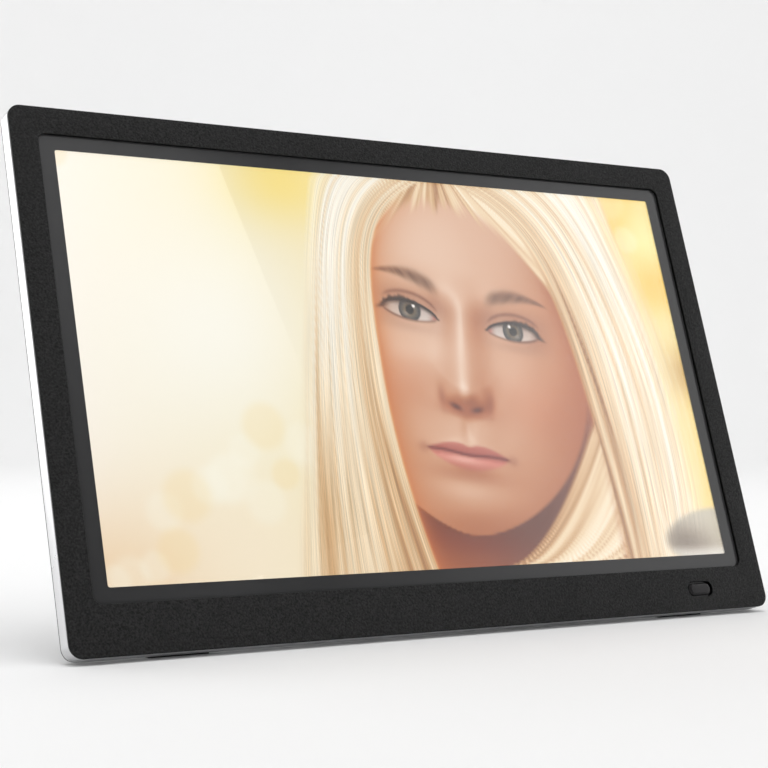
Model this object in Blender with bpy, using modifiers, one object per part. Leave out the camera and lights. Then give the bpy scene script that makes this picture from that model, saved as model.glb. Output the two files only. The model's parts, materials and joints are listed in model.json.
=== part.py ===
"""A 15.6 inch digital photo frame: black bezel, silver side band, rear housing and a fold-out leg.

All driving values are in millimetres and are turned into metres where the geometry is made.
The panel is built upright: x to the viewer's right, y from the bezel's front face to the back, z up from the
casing's lower edge. It hangs under one empty that leans it back, and that empty under another on the table.
"""

import math

import bmesh
import bpy
from mathutils import Matrix, Vector

MM = 0.001
GAP = 0.3
FIT = 0.4

# Casing, seen from the front.
CASE_W, CASE_H, CASE_R = 385.0, 241.5, 6.0
LEAN = 17.0
FRONT_EDGE_HEIGHT = 3.02
SCREEN_W, SCREEN_H, SCREEN_Z = 344.2, 193.6, 125.0
OPENING_W, OPENING_H, OPENING_R = 359.4, 207.4, 4.0

# Layers from the front face to the back, as depths y.
FACE_T = 1.2
BAND_FRONT, BAND_BACK, BAND_T = 1.5, 8.7, 1.4
COVER_FRONT, COVER_BACK, COVER_INNER = 9.0, 14.0, 12.4
HUMP_BACK, HUMP_INNER = 27.0, 25.0
RECESS_FLOOR, RECESS_INNER = 17.5, 15.7
HUMP_Z0, HUMP_Z1, HUMP_W = 22.0, 202.0, 244.0
HUMP_Z = (HUMP_Z0 + HUMP_Z1) / 2

# Stand: the leg turns on a pin in a bracket at the top of the recess.
HINGE_Y, HINGE_Z = 22.5, 150.0
OPEN = 32.0
KNUCKLE_R, PIN_R, BORE_R = 4.2, 2.0, 2.1
BRACKET_HALF, KNUCKLE_IN, KNUCKLE_OUT = 17.0, 18.6, 30.0
LEG_T = 5.0
HEEL = 4.8

# Controls, sockets and small pieces.
WINDOW_X, WINDOW_Z = 148.6, 10.8
BUTTON_Z, BUTTON_PITCH, BUTTONS = 184.0, 11.0, 7
BOARD_Y0, BOARD_Y1 = 15.5, 16.7
KEY_Y0, KEY_Y1 = 17.5, 18.7
SPEAKER_X, SPEAKER_Z = 82.0, 44.0
SCREW_HEAD_R, SCREW_SHANK_R, SCREW_BORE_R, SCREW_HOLE_R = 2.4, 0.9, 1.2, 1.4
COVER_SCREWS = ((-186, 40), (186, 40), (-186, 205), (186, 205), (0, 9.5), (0, 234))
BOARD_SCREWS = ((54, 66), (88, 66), (66, 146), (88, 146))
BRACKET_SCREWS = (139.0, 161.0)
KEY_PEGS = (-42, 42)
FOOT_X, FOOT_HALF, FOOT_FRONT, FOOT_BACK, FOOT_TOP = 140.0, 14.0, 9.4, 13.0, 2.1
RIBBON_T = 0.3
SPEAKER_CABLE_R, RECEIVER_CABLE_R = 0.7, 0.6
TURNED_SIDES = 16
CORNER_STEPS = 6

# name: colour, metallic, roughness
FINISHES = {
    "bezel_plastic": ((0.028, 0.028, 0.028), 0.0, 0.55),
    "silver_paint": ((0.62, 0.62, 0.63), 0.8, 0.35),
    "cover_plastic": ((0.022, 0.022, 0.024), 0.0, 0.6),
    "glass": ((0.02, 0.02, 0.022), 0.0, 0.06),
    "screen_cell": ((0.05, 0.05, 0.06), 0.0, 0.15),
    "film": ((0.85, 0.86, 0.88), 0.0, 0.3),
    "acrylic": ((0.8, 0.85, 0.85), 0.0, 0.1),
    "steel": ((0.55, 0.55, 0.56), 1.0, 0.35),
    "board": ((0.02, 0.12, 0.05), 0.0, 0.45),
    "chip": ((0.02, 0.02, 0.02), 0.0, 0.5),
    "aluminium": ((0.7, 0.7, 0.72), 1.0, 0.4),
    "rubber": ((0.03, 0.03, 0.03), 0.0, 0.9),
    "cable": ((0.06, 0.06, 0.06), 0.0, 0.6),
    "ribbon": ((0.75, 0.75, 0.72), 0.0, 0.5),
    "window_plastic": ((0.02, 0.015, 0.018), 0.0, 0.2),
    "paper_cone": ((0.08, 0.08, 0.08), 0.0, 0.85),
}


def clear_scene():
    for obj in list(bpy.data.objects):
        bpy.data.objects.remove(obj, do_unlink=True)


def material(name):
    found = bpy.data.materials.get(name)
    if found:
        return found
    colour, metallic, roughness = FINISHES[name]
    made = bpy.data.materials.new(name)
    made.use_nodes = True
    shader = made.node_tree.nodes["Principled BSDF"]
    shader.inputs["Base Color"].default_value = (*colour, 1)
    shader.inputs["Metallic"].default_value = metallic
    shader.inputs["Roughness"].default_value = roughness
    made.diffuse_color = (*colour, 1)
    return made


def empty(name, parent=None):
    made = bpy.data.objects.new(name, None)
    PARTS.objects.link(made)
    made.parent = parent
    return made


def place(obj, look, at, parent):
    """Puts an object in the model: a sub-part when it has a look, otherwise a helper shape."""
    obj.parent = parent or PANEL
    obj.location = Vector(at) * MM
    if look:
        obj.data.materials.append(material(look))
        PARTS.objects.link(obj)
    else:
        obj.hide_render = True
        obj.display_type = "WIRE"
        HELPERS.objects.link(obj)
    return obj


def from_bmesh(name, bm, look, at, parent):
    data = bpy.data.meshes.new(name)
    bm.to_mesh(data)
    bm.free()
    return place(bpy.data.objects.new(name, data), look, at, parent)


def loft(name, loops, look=None, ring=False, at=(0, 0, 0), parent=None):
    """Joins unlike sections of equal length. A ring closes on itself, otherwise both ends are capped."""
    bm = bmesh.new()
    rows = [[bm.verts.new(Vector(point) * MM) for point in loop] for loop in loops]
    pairs = list(zip(rows, rows[1:]))
    if ring:
        pairs.append((rows[-1], rows[0]))
    else:
        bm.faces.new(rows[0])
        bm.faces.new(rows[-1])
    for first, second in pairs:
        for i in range(len(first)):
            j = (i + 1) % len(first)
            bm.faces.new((first[i], first[j], second[j], second[i]))
    bmesh.ops.recalc_face_normals(bm, faces=bm.faces)
    return from_bmesh(name, bm, look, at, parent)


def corners(width, height, radius, x=0.0, z=0.0):
    """The points of a rounded rectangle in the panel's plane."""
    points = []
    for quarter, (sx, sz) in enumerate(((1, 1), (-1, 1), (-1, -1), (1, -1))):
        cx = x + sx * (width / 2 - radius)
        cz = z + sz * (height / 2 - radius)
        for step in range(CORNER_STEPS + 1):
            angle = math.radians(90 * quarter + 90 * step / CORNER_STEPS)
            points.append((cx + radius * math.cos(angle), cz + radius * math.sin(angle)))
    return points


def rounded(width, height, radius, y, x=0.0, z=0.0):
    """A rounded rectangle across the panel at depth y."""
    return [(px, y, pz) for px, pz in corners(width, height, radius, x, z)]


def inset(distance, y):
    """The casing's outline moved inwards by a distance, at depth y."""
    radius = max(CASE_R - distance, 1.0)
    return rounded(CASE_W - 2 * distance, CASE_H - 2 * distance, radius, y, z=CASE_H / 2)


def turned(name, profile, look=None, axis="y", ring=False, at=(0, 0, 0), parent=None):
    """A round solid from (radius, distance along the axis) pairs, turned about its axis."""
    points = list(profile)
    if ring:
        pairs = zip(points, points[1:] + points[:1])
        if sum(r0 * a1 - r1 * a0 for (r0, a0), (r1, a1) in pairs) > 0:
            points.reverse()
    else:
        if points[0][1] < points[-1][1]:
            points.reverse()
        points = [(0, points[0][1]), *points, (0, points[-1][1])]
    bm = bmesh.new()
    verts = [bm.verts.new(Vector((radius, 0, along)) * MM) for radius, along in points]
    for first, second in zip(verts, verts[1:]):
        bm.edges.new((first, second))
    if ring:
        bm.edges.new((verts[-1], verts[0]))
    obj = from_bmesh(name, bm, look, at, parent)
    obj.rotation_euler = {"x": (0, math.pi / 2, 0), "y": (-math.pi / 2, 0, 0), "z": (0, 0, 0)}[axis]
    turn = obj.modifiers.new("turn", "SCREW")
    turn.steps = TURNED_SIDES
    turn.render_steps = TURNED_SIDES
    turn.use_merge_vertices = True
    turn.merge_threshold = 1e-6
    return obj


def drawn(name, outline, low, high, look=None, axis="y", parent=None):
    """A flat outline drawn out from low to high along an axis.

    Its points are (x, z) when it is drawn along y, and (y, z) when it is drawn along x.
    """
    data = bpy.data.curves.new(name, "CURVE")
    data.dimensions = "2D"
    data.fill_mode = "BOTH"
    data.extrude = (high - low) / 2 * MM
    spline = data.splines.new("POLY")
    spline.points.add(len(outline) - 1)
    spline.use_cyclic_u = True
    for target, (u, v) in zip(spline.points, outline):
        target.co = (u * MM, v * MM, 0, 1)
    flat = bpy.data.objects.new(name, data)
    bpy.context.scene.collection.objects.link(flat)
    graph = bpy.context.evaluated_depsgraph_get()
    mesh = bpy.data.meshes.new_from_object(flat.evaluated_get(graph))
    bpy.data.objects.remove(flat)
    bpy.data.curves.remove(data)
    bm = bmesh.new()
    bm.from_mesh(mesh)
    bpy.data.meshes.remove(mesh)
    bmesh.ops.remove_doubles(bm, verts=bm.verts, dist=1e-6)
    middle = (low + high) / 2
    at = (0, middle, 0) if axis == "y" else (middle, 0, 0)
    obj = from_bmesh(name, bm, look, at, parent)
    obj.rotation_euler = (math.pi / 2, 0, 0 if axis == "y" else math.pi / 2)
    return obj


def boxes(name, ranges, look=None, at=(0, 0, 0), parent=None):
    """One mesh of boxes that don't touch, each given as its x, y and z ranges."""
    bm = bmesh.new()
    for spans in ranges:
        size = [high - low for low, high in spans]
        middle = [(high + low) / 2 for low, high in spans]
        spot = Matrix.Translation(Vector(middle) * MM) @ Matrix.Diagonal(Vector((*size, 1 / MM)) * MM)
        bmesh.ops.create_cube(bm, size=1, matrix=spot)
    return from_bmesh(name, bm, look, at, parent)


def posts(name, places, radius, y0, y1):
    """One helper mesh of round posts along y at the given (x, z) places."""
    bm = bmesh.new()
    turn = Matrix.Rotation(math.radians(90), 4, "X")
    for x, z in places:
        spot = Matrix.Translation(Vector((x, (y0 + y1) / 2, z)) * MM) @ turn
        bmesh.ops.create_cone(
            bm, cap_ends=True, segments=TURNED_SIDES, radius1=radius * MM, radius2=radius * MM,
            depth=(y1 - y0) * MM, matrix=spot,
        )
    return from_bmesh(name, bm, None, (0, 0, 0), None)


def combine(obj, other, operation):
    step = obj.modifiers.new(f"{operation.lower()}_{other.name}", "BOOLEAN")
    step.operation = operation
    step.solver = "EXACT"
    step.object = other


def cut(obj, *others):
    for other in others:
        combine(obj, other, "DIFFERENCE")


def join(obj, *others):
    for other in others:
        combine(obj, other, "UNION")


def bevel(obj, width, segments=2, angle=40):
    step = obj.modifiers.new("edges", "BEVEL")
    step.width = width * MM
    step.segments = segments
    step.limit_method = "ANGLE"
    step.angle_limit = math.radians(angle)


def wire(name, points, radius, look):
    """A round internal cable along its points, smoothed between them."""
    smooth = []
    last = len(points) - 1
    for i in range(last):
        before, start = Vector(points[max(i - 1, 0)]), Vector(points[i])
        end, after = Vector(points[i + 1]), Vector(points[min(i + 2, last)])
        for step in range(4):
            t = step / 4
            smooth.append(
                0.5 * (2 * start + (end - before) * t + (2 * before - 5 * start + 4 * end - after) * t**2
                       + (3 * start - before - 3 * end + after) * t**3)
            )
    smooth.append(Vector(points[-1]))
    data = bpy.data.curves.new(name, "CURVE")
    data.dimensions = "3D"
    data.bevel_depth = radius * MM
    data.bevel_resolution = 2
    data.use_fill_caps = True
    spline = data.splines.new("POLY")
    spline.points.add(len(smooth) - 1)
    for target, point in zip(spline.points, smooth):
        target.co = (*(point * MM), 1)
    data.materials.append(material(look))
    obj = bpy.data.objects.new(name, data)
    obj.parent = PANEL
    PARTS.objects.link(obj)


def ribbon(name, path, x, width):
    """A flat internal cable: a strip along a path of (y, z) points, thickened evenly."""
    bm = bmesh.new()
    rows = [[bm.verts.new(Vector((x + side * width / 2, y, z)) * MM) for side in (-1, 1)] for y, z in path]
    for first, second in zip(rows, rows[1:]):
        bm.faces.new((first[0], first[1], second[1], second[0]))
    obj = from_bmesh(name, bm, "ribbon", (0, 0, 0), None)
    thicken = obj.modifiers.new("thickness", "SOLIDIFY")
    thicken.thickness = RIBBON_T * MM
    thicken.offset = 0


def screw(name, x, z, head_y, tip_y, head_t=1.2):
    """A pan-head screw along y with a cross recess: head_y is the underside of its head."""
    inward = 1 if tip_y > head_y else -1
    top = head_y - inward * head_t
    profile = (
        (SCREW_HEAD_R - 0.5, top),
        (SCREW_HEAD_R, top + inward * 0.5),
        (SCREW_HEAD_R, head_y),
        (SCREW_SHANK_R, head_y),
        (SCREW_SHANK_R, tip_y - inward * 0.8),
        (SCREW_SHANK_R / 3, tip_y),
    )
    obj = turned(name, profile, "steel", at=(x, 0, z))
    low, high = sorted((top - inward, top + inward * 0.7))
    for arm, (half_x, half_z) in enumerate(((1.3, 0.3), (0.3, 1.3))):
        slot = ((x - half_x, x + half_x), (low, high), (z - half_z, z + half_z))
        cut(obj, boxes(f"{name}_slot_{arm + 1}", [slot]))


def front_bezel():
    """The textured face, its thin black edge, a rib that locates it in the band, and six screw posts."""
    rim, lip = 0.4, 0.35

    def opening(grow, y):
        return rounded(OPENING_W + 2 * grow, OPENING_H + 2 * grow, OPENING_R + grow, y, z=SCREEN_Z)

    sections = (
        inset(0, FACE_T), inset(0, rim), inset(rim * 0.3, rim * 0.3), inset(rim, 0),
        opening(lip, 0), opening(lip * 0.3, lip * 0.3), opening(0, lip), opening(0, FACE_T),
        inset(3.4, FACE_T), inset(3.4, 4.5), inset(1.9, 4.5), inset(1.9, FACE_T),
    )
    obj = loft("front_bezel", sections, "bezel_plastic", ring=True)
    join(obj, posts("bezel_posts", COVER_SCREWS, 2.5, FACE_T - 0.5, 10.5))
    cut(obj, posts("bezel_post_bores", COVER_SCREWS, SCREW_BORE_R, 3.5, 11.0))
    cut(obj, drawn("window_hole", corners(16.2, 7.8, 3.7, WINDOW_X, WINDOW_Z), -1, FACE_T + 1))


def side_band():
    """The silver band round the casing, with softened edges."""
    edge = 0.35
    sections = (
        inset(edge, BAND_FRONT), inset(0, BAND_FRONT + edge),
        inset(0, BAND_BACK - edge), inset(edge, BAND_BACK),
        inset(BAND_T, BAND_BACK), inset(BAND_T, BAND_FRONT),
    )
    loft("side_band", sections, "silver_paint", ring=True)


def hump_section(width_less, y, radius, shrink=0.0):
    width = HUMP_W - width_less - 2 * shrink
    height = HUMP_Z1 - HUMP_Z0 - width_less - 2 * shrink
    return rounded(width, height, radius, y, z=HUMP_Z)


def housing_cavity():
    """The room for the electronics inside the hump, kept clear of the leg's recess."""
    sections = (hump_section(0, COVER_INNER - 0.6, 8, 2.4), hump_section(4, HUMP_INNER, 7, 2.0))
    cavity = loft("cavity", sections)
    cut(cavity, boxes("recess_wall", [((-44, 44), (RECESS_INNER, 30), (0, 172))]))
    return cavity


def rear_cover():
    """A shallow tray with rounded edges, and a hump for the electronics with a recess for the leg."""
    sections = (
        inset(7.0, COVER_BACK), inset(4.2, COVER_BACK - 0.8), inset(2.2, COVER_BACK - 2.2),
        inset(0.4, COVER_FRONT + 0.8), inset(0.4, COVER_FRONT),
        inset(1.9, COVER_FRONT), inset(1.9, 6.6), inset(3.3, 6.6), inset(3.3, COVER_FRONT + 1.2),
        inset(5.0, COVER_INNER - 0.8), inset(8.0, COVER_INNER),
    )
    obj = loft("rear_cover", sections, "cover_plastic")
    hump = loft("hump", [
        hump_section(0, COVER_BACK - 1, 10), hump_section(4, HUMP_BACK - 2.4, 9),
        hump_section(6, HUMP_BACK - 0.8, 8), hump_section(9, HUMP_BACK, 7),
    ])
    join(obj, hump)
    cut(obj, housing_cavity(), boxes("leg_recess", [((-42, 42), (RECESS_FLOOR, 30), (10, 170))]))
    join(
        obj,
        posts("board_posts", BOARD_SCREWS, 2.6, BOARD_Y1 + GAP, HUMP_INNER + 0.5),
        posts("cover_posts", COVER_SCREWS, 3.4, 10.8, COVER_INNER + 0.6),
        posts("bracket_posts", [(0, z) for z in BRACKET_SCREWS], 3.0, 12.9, RECESS_INNER + 0.5),
        posts("key_posts", [(x, BUTTON_Z) for x in KEY_PEGS], 2.4, KEY_Y1 + GAP, HUMP_INNER + 0.5),
        posts("key_pegs", [(x, BUTTON_Z) for x in KEY_PEGS], 1.1, KEY_Y0 - 1.0, HUMP_INNER + 0.2),
    )
    cut(
        obj,
        posts("board_bores", BOARD_SCREWS, SCREW_BORE_R, 14, 23.5),
        posts("cover_holes", COVER_SCREWS, SCREW_HOLE_R, 8, 16),
        posts("cover_wells", COVER_SCREWS, SCREW_HEAD_R + 0.5, 12.5, 16),
        posts("bracket_bores", [(0, z) for z in BRACKET_SCREWS], SCREW_BORE_R, 11, 20),
        *housing_openings(),
    )


def socket_mouths():
    """The (y, z) ranges of the five socket openings in the hump's side."""
    return {
        "power_socket": ((17.0, 23.6), (63.0, 71.6)),
        "usb_socket": ((17.0, 22.8), (76.0, 89.2)),
        "small_usb_socket": ((17.0, 20.0), (93.0, 101.0)),
        "card_socket": ((17.0, 20.2), (105.0, 131.0)),
        "headphone_socket": ((17.0, 22.8), (135.0, 141.0)),
    }


def housing_openings():
    """Cutters for the sockets, the speaker and air slots, the feet's pockets and the button holes."""
    mouths = []
    for (y0, y1), (z0, z1) in socket_mouths().values():
        mouths.append(((115, 126), (y0 - FIT, y1 + FIT), (z0 - FIT, z1 + FIT)))
    slots = []
    for side in (-1, 1):
        for row in range(5):
            z = SPEAKER_Z + 3.2 * (row - 2)
            x = side * SPEAKER_X
            slots.append(((x - 12, x + 12), (24, 29), (z - 0.8, z + 0.8)))
    for row in range(8):
        for side in (-1, 1):
            x = side * (58 + 6 * row)
            slots.append(((x - 1, x + 1), (24, 29), (160, 176)))
    holes = []
    for i in range(BUTTONS):
        x = button_x(i)
        holes.append(drawn(f"button_hole_{i + 1}", corners(8.8, 6.3, 2.9, x, BUTTON_Z), 24, 29))
    pockets = []
    for side in (-1, 1):
        x = side * FOOT_X
        across = (x - FOOT_HALF - GAP, x + FOOT_HALF + GAP)
        pockets.append((across, (FOOT_FRONT - GAP, FOOT_BACK + GAP), (-3, FOOT_TOP + GAP)))
    return [
        boxes("socket_holes", mouths),
        boxes("air_slots", slots),
        boxes("foot_pockets", pockets),
        *holes,
    ]


def button_x(i):
    return BUTTON_PITCH * (i - (BUTTONS - 1) / 2)


def buttons():
    """Seven pill caps, each with a flange behind the housing wall and a short stem over its switch."""
    for i in range(BUTTONS):
        sizes = (
            (7.0, 4.5, 2.0, 1.0), (8.0, 5.5, 2.5, 0.6), (8.0, 5.5, 2.5, -2.3), (10.4, 8.0, 3.0, -2.3),
            (10.4, 8.0, 3.0, -3.1), (3.0, 3.0, 1.4, -3.1), (3.0, 3.0, 1.4, -4.0),
        )
        loops = [rounded(width, height, radius, y) for width, height, radius, y in sizes]
        loft(f"button_{i + 1}", loops, "cover_plastic", at=(button_x(i), HUMP_BACK, BUTTON_Z))


def screen_module():
    """The display module from its front frame to its back tray."""
    module_z, frame_w, frame_h = 123.0, 362.0, 214.0
    drawn("cover_glass", corners(365, 212, 3, z=SCREEN_Z), 1.5, 2.6, "glass")
    wall = 0.6
    frame = (
        rounded(346, 195.6, 1, 2.9, z=SCREEN_Z), rounded(frame_w, frame_h, 2.5, 2.9, z=module_z),
        rounded(frame_w, frame_h, 2.5, 7.8, z=module_z),
        rounded(frame_w - 2 * wall, frame_h - 2 * wall, 1.9, 7.8, z=module_z),
        rounded(frame_w - 2 * wall, frame_h - 2 * wall, 1.9, 2.9 + wall, z=module_z),
        rounded(346, 195.6, 1, 2.9 + wall, z=SCREEN_Z),
    )
    loft("lcd_front_frame", frame, "steel", ring=True)
    stack = {
        "lcd_cell": ("screen_cell", 356, 206, 124, 3.8, 4.9),
        "optical_sheets": ("film", 355, 205, 124, 5.2, 5.6),
        "light_guide_plate": ("acrylic", 352, 198, 127, 5.9, 7.7),
        "reflector_sheet": ("film", 354, 203, 124, 8.0, 8.2),
    }
    for name, (look, width, height, z, y0, y1) in stack.items():
        boxes(name, [((-width / 2, width / 2), (y0, y1), (z - height / 2, z + height / 2))], look)
    led_bar()
    tray_w, tray_h = frame_w - 2 * wall - 2 * GAP, frame_h - 2 * wall - 2 * GAP
    tray = (
        rounded(tray_w, tray_h, 1.6, 9.2, z=module_z), rounded(tray_w, tray_h, 1.6, 5.4, z=module_z),
        rounded(tray_w - 2 * wall, tray_h - 2 * wall, 1.0, 5.4, z=module_z),
        rounded(tray_w - 2 * wall, tray_h - 2 * wall, 1.0, 9.2 - wall, z=module_z),
    )
    loft("lcd_back_tray", tray, "steel")


def led_bar():
    """A strip of small lamps that shines into the lower edge of the light guide."""
    count, pitch = 24, 14.4
    obj = boxes("led_bar", [((-175, 175), (6.0, 7.6), (24.0, 25.4))], "ribbon")
    lamps = []
    for i in range(count):
        x = pitch * (i - (count - 1) / 2)
        lamps.append(((x - 2, x + 2), (6.3, 7.3), (25.0, 27.4)))
    join(obj, boxes("lamps", lamps))


def driver_board():
    obj = boxes("lcd_driver_board", [((-150, 90), (9.5, 10.5), (20, 34))], "board")
    chips = [((x, x + 12), (10.3, 11.5), (23, 31)) for x in (-130, -90, -50, -10)]
    chips.append(((60, 80), (10.3, 11.8), (28, 33)))
    join(obj, boxes("driver_chips", chips))


def main_board():
    """The board with its chips and cable connectors, held by four screws."""
    obj = boxes("main_board", [((50, 114), (BOARD_Y0, BOARD_Y1), (58, 150))], "board")
    raised = [
        ((60, 80), (14.0, BOARD_Y0 + 0.2), (72.3, 76.5)),
        ((99, 107), (13.9, BOARD_Y0 + 0.2), (63, 67)),
        ((51, 61), (BOARD_Y1 - 0.2, 18.8), (137, 142)),
        ((70, 76), (BOARD_Y1 - 0.2, 19.2), (63, 68)),
        ((94, 99), (BOARD_Y1 - 0.2, 19.2), (63, 68)),
        ((64, 74), (BOARD_Y1 - 0.2, 17.9), (100, 114)),
        ((78, 88), (BOARD_Y1 - 0.2, 17.9), (100, 114)),
        ((56, 66), (BOARD_Y1 - 0.2, 18.4), (78, 88)),
        ((72, 78), (BOARD_Y1 - 0.2, 19.6), (80, 86)),
    ]
    join(obj, boxes("board_chips", raised))
    cut(obj, posts("board_holes", BOARD_SCREWS, SCREW_HOLE_R, 13, 18))
    for i, (x, z) in enumerate(BOARD_SCREWS):
        screw(f"board_screw_{i + 1}", x, z, BOARD_Y0 - GAP, 22.5)
    boxes("processor_chip", [((62, 78), (14.0, BOARD_Y0 - GAP), (96, 112))], "chip")
    spreader = boxes("heat_spreader", [((58, 82), (12.3, 13.7), (92, 116))], "aluminium")
    fins = [((54, 86), (11.5, 12.9), (95 + 3 * i, 96.4 + 3 * i)) for i in range(6)]
    cut(spreader, boxes("spreader_grooves", fins))
    cell = ((6.0, BOARD_Y1 + GAP), (6.2, 17.6), (6.2, 20.0), (5.8, 20.3))
    turned("clock_cell", cell, "steel", at=(64, 0, 127))


def sockets():
    """Five sockets along the board's edge, each open towards the hump's side wall."""
    depth = {
        "power_socket": 14,
        "usb_socket": 14,
        "small_usb_socket": 6,
        "card_socket": 24,
        "headphone_socket": 12,
    }
    look = {"power_socket": "chip", "headphone_socket": "chip"}
    mouth_x = 117.4
    for name, ((y0, y1), (z0, z1)) in socket_mouths().items():
        back_x = mouth_x - depth[name]
        obj = boxes(name, [((back_x, mouth_x), (y0, y1), (z0, z1))], look.get(name, "steel"))
        centre = (0, (y0 + y1) / 2, (z0 + z1) / 2)
        if name == "power_socket":
            bore = ((2.8, back_x + 2), (2.8, mouth_x + 1))
            pin = ((0.7, back_x + 1), (0.7, mouth_x - 1))
            cut(obj, turned("power_bore", bore, axis="x", at=centre))
            join(obj, turned("power_pin", pin, axis="x", at=centre))
        elif name == "headphone_socket":
            bore = ((1.8, back_x + 1.5), (1.8, mouth_x + 1))
            cut(obj, turned("headphone_bore", bore, axis="x", at=centre))
        else:
            wall = 0.4
            room = ((back_x + 1, mouth_x + 1), (y0 + wall, y1 - wall), (z0 + wall, z1 - wall))
            cut(obj, boxes(f"{name}_room", [room]))
        if name in ("usb_socket", "small_usb_socket"):
            tongue = ((back_x + 0.5, mouth_x - 0.6), (y0 + 0.9, y0 + 0.5 * (y1 - y0)), (z0 + 1.2, z1 - 1.2))
            join(obj, boxes(f"{name}_tongue", [tongue]))


def key_board():
    obj = boxes("key_board", [((-46, 64), (KEY_Y0, KEY_Y1), (176.5, 191.5))], "board")
    switches = [
        ((button_x(i) - 2.6, button_x(i) + 2.6), (KEY_Y1 - 0.2, 21.2), (BUTTON_Z - 2.6, BUTTON_Z + 2.6))
        for i in range(BUTTONS)
    ]
    plungers = [
        ((button_x(i) - 1.2, button_x(i) + 1.2), (21.0, 22.2), (BUTTON_Z - 1.2, BUTTON_Z + 1.2))
        for i in range(BUTTONS)
    ]
    switches.append(((51, 61), (KEY_Y1 - 0.2, 20.2), (177.5, 181)))
    join(obj, boxes("switches", switches), boxes("plungers", plungers))
    cut(obj, posts("key_holes", [(x, BUTTON_Z) for x in KEY_PEGS], 1.1 + GAP, 16, 20))


def speakers():
    """Oval speakers behind the slotted grilles, each with a shallow cone."""
    for side, name in ((-1, "speaker_left"), (1, "speaker_right")):
        sizes = (
            (20, 10, 4, 18.0), (24, 12, 5, 20.5), (32, 18, 8.5, 21.0), (32, 18, 8.5, 24.6),
            (28, 14, 6.5, 24.6), (26, 12, 5.5, 23.6), (12, 6, 2.8, 22.2),
        )
        loops = [rounded(w, h, r, y, side * SPEAKER_X, SPEAKER_Z) for w, h, r, y in sizes]
        loft(name, loops, "paper_cone")


def receiver():
    """The dark pill window in the bezel, and the remote control's receiver on its board behind it."""
    sizes = (
        (13.6, 5.2, 2.5, 0.2), (14.4, 6.0, 2.9, 0.45), (14.4, 6.0, 2.9, 1.5),
        (18.4, 10.0, 4.5, 1.5), (18.4, 10.0, 4.5, 2.3),
    )
    loft("ir_window", [rounded(w, h, r, y, WINDOW_X, WINDOW_Z) for w, h, r, y in sizes], "window_plastic")
    body = boxes("ir_receiver", [((145, 152.2), (3.6, 7.6), (7.9, 13.7))], "chip")
    join(body, turned("ir_lens", ((1.2, 2.6), (2.2, 3.0), (2.4, 3.8)), at=(WINDOW_X, 0, WINDOW_Z)))
    board = boxes("ir_board", [((140.5, 156.5), (7.9, 8.9), (6.0, 14.6))], "board")
    join(board, boxes("ir_plug", [((141, 145), (8.7, 11.2), (8.8, 12.8))]))


def cables():
    """The internal cables, each along its own path from plug to plug."""
    display = ((11.1, 33.3), (11.1, 54), (11.9, 58), (13.6, 62.5), (14.6, 67), (14.6, 72))
    ribbon("display_cable", display, 70, 16)
    keys = ((19.4, 177.2), (19.4, 165), (18.8, 158), (17.9, 150), (17.7, 142.3))
    ribbon("key_cable", keys, 56, 8)
    speaker_right = ((82, 21, 53.4), (83, 20.5, 57), (92, 18.4, 58.5), (96.5, 17.9, 62.7))
    wire("speaker_cable_right", speaker_right, SPEAKER_CABLE_R, "cable")
    speaker_left = (
        (-65.6, 22.8, 44), (-60, 21.5, 46), (-50, 14.4, 50), (-30, 13.8, 52),
        (30, 13.8, 52), (52, 14.2, 52), (66, 17.5, 55), (73, 17.9, 62.7),
    )
    wire("speaker_cable_left", speaker_left, SPEAKER_CABLE_R, "cable")
    receiver_path = (
        (140.6, 10.4, 10.8), (130, 10.7, 13), (112, 10.8, 20), (106, 11.4, 29),
        (103, 13.4, 42), (103, 14.6, 55), (103, 14.6, 62.7),
    )
    wire("receiver_cable", receiver_path, RECEIVER_CABLE_R, "cable")


def floor_line(y, lean, pivot_height):
    """The z, in a frame that leans and whose origin is at the given height, of the table under depth y."""
    return (y * math.sin(math.radians(lean)) - pivot_height) / math.cos(math.radians(lean))


def feet():
    """Two rubber pads set into the rear cover's lower edge, cut level with the table."""
    outline = [
        (FOOT_FRONT, floor_line(FOOT_FRONT, LEAN, FRONT_EDGE_HEIGHT)),
        (FOOT_BACK, floor_line(FOOT_BACK, LEAN, FRONT_EDGE_HEIGHT)),
        (FOOT_BACK, FOOT_TOP), (FOOT_FRONT, FOOT_TOP),
    ]
    for side, name in ((-1, "foot_left"), (1, "foot_right")):
        x = side * FOOT_X
        drawn(name, outline, x - FOOT_HALF, x + FOOT_HALF, "rubber", "x")


def hinge_height():
    lean = math.radians(LEAN)
    return FRONT_EDGE_HEIGHT - HINGE_Y * math.sin(lean) + HINGE_Z * math.cos(lean)


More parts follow.
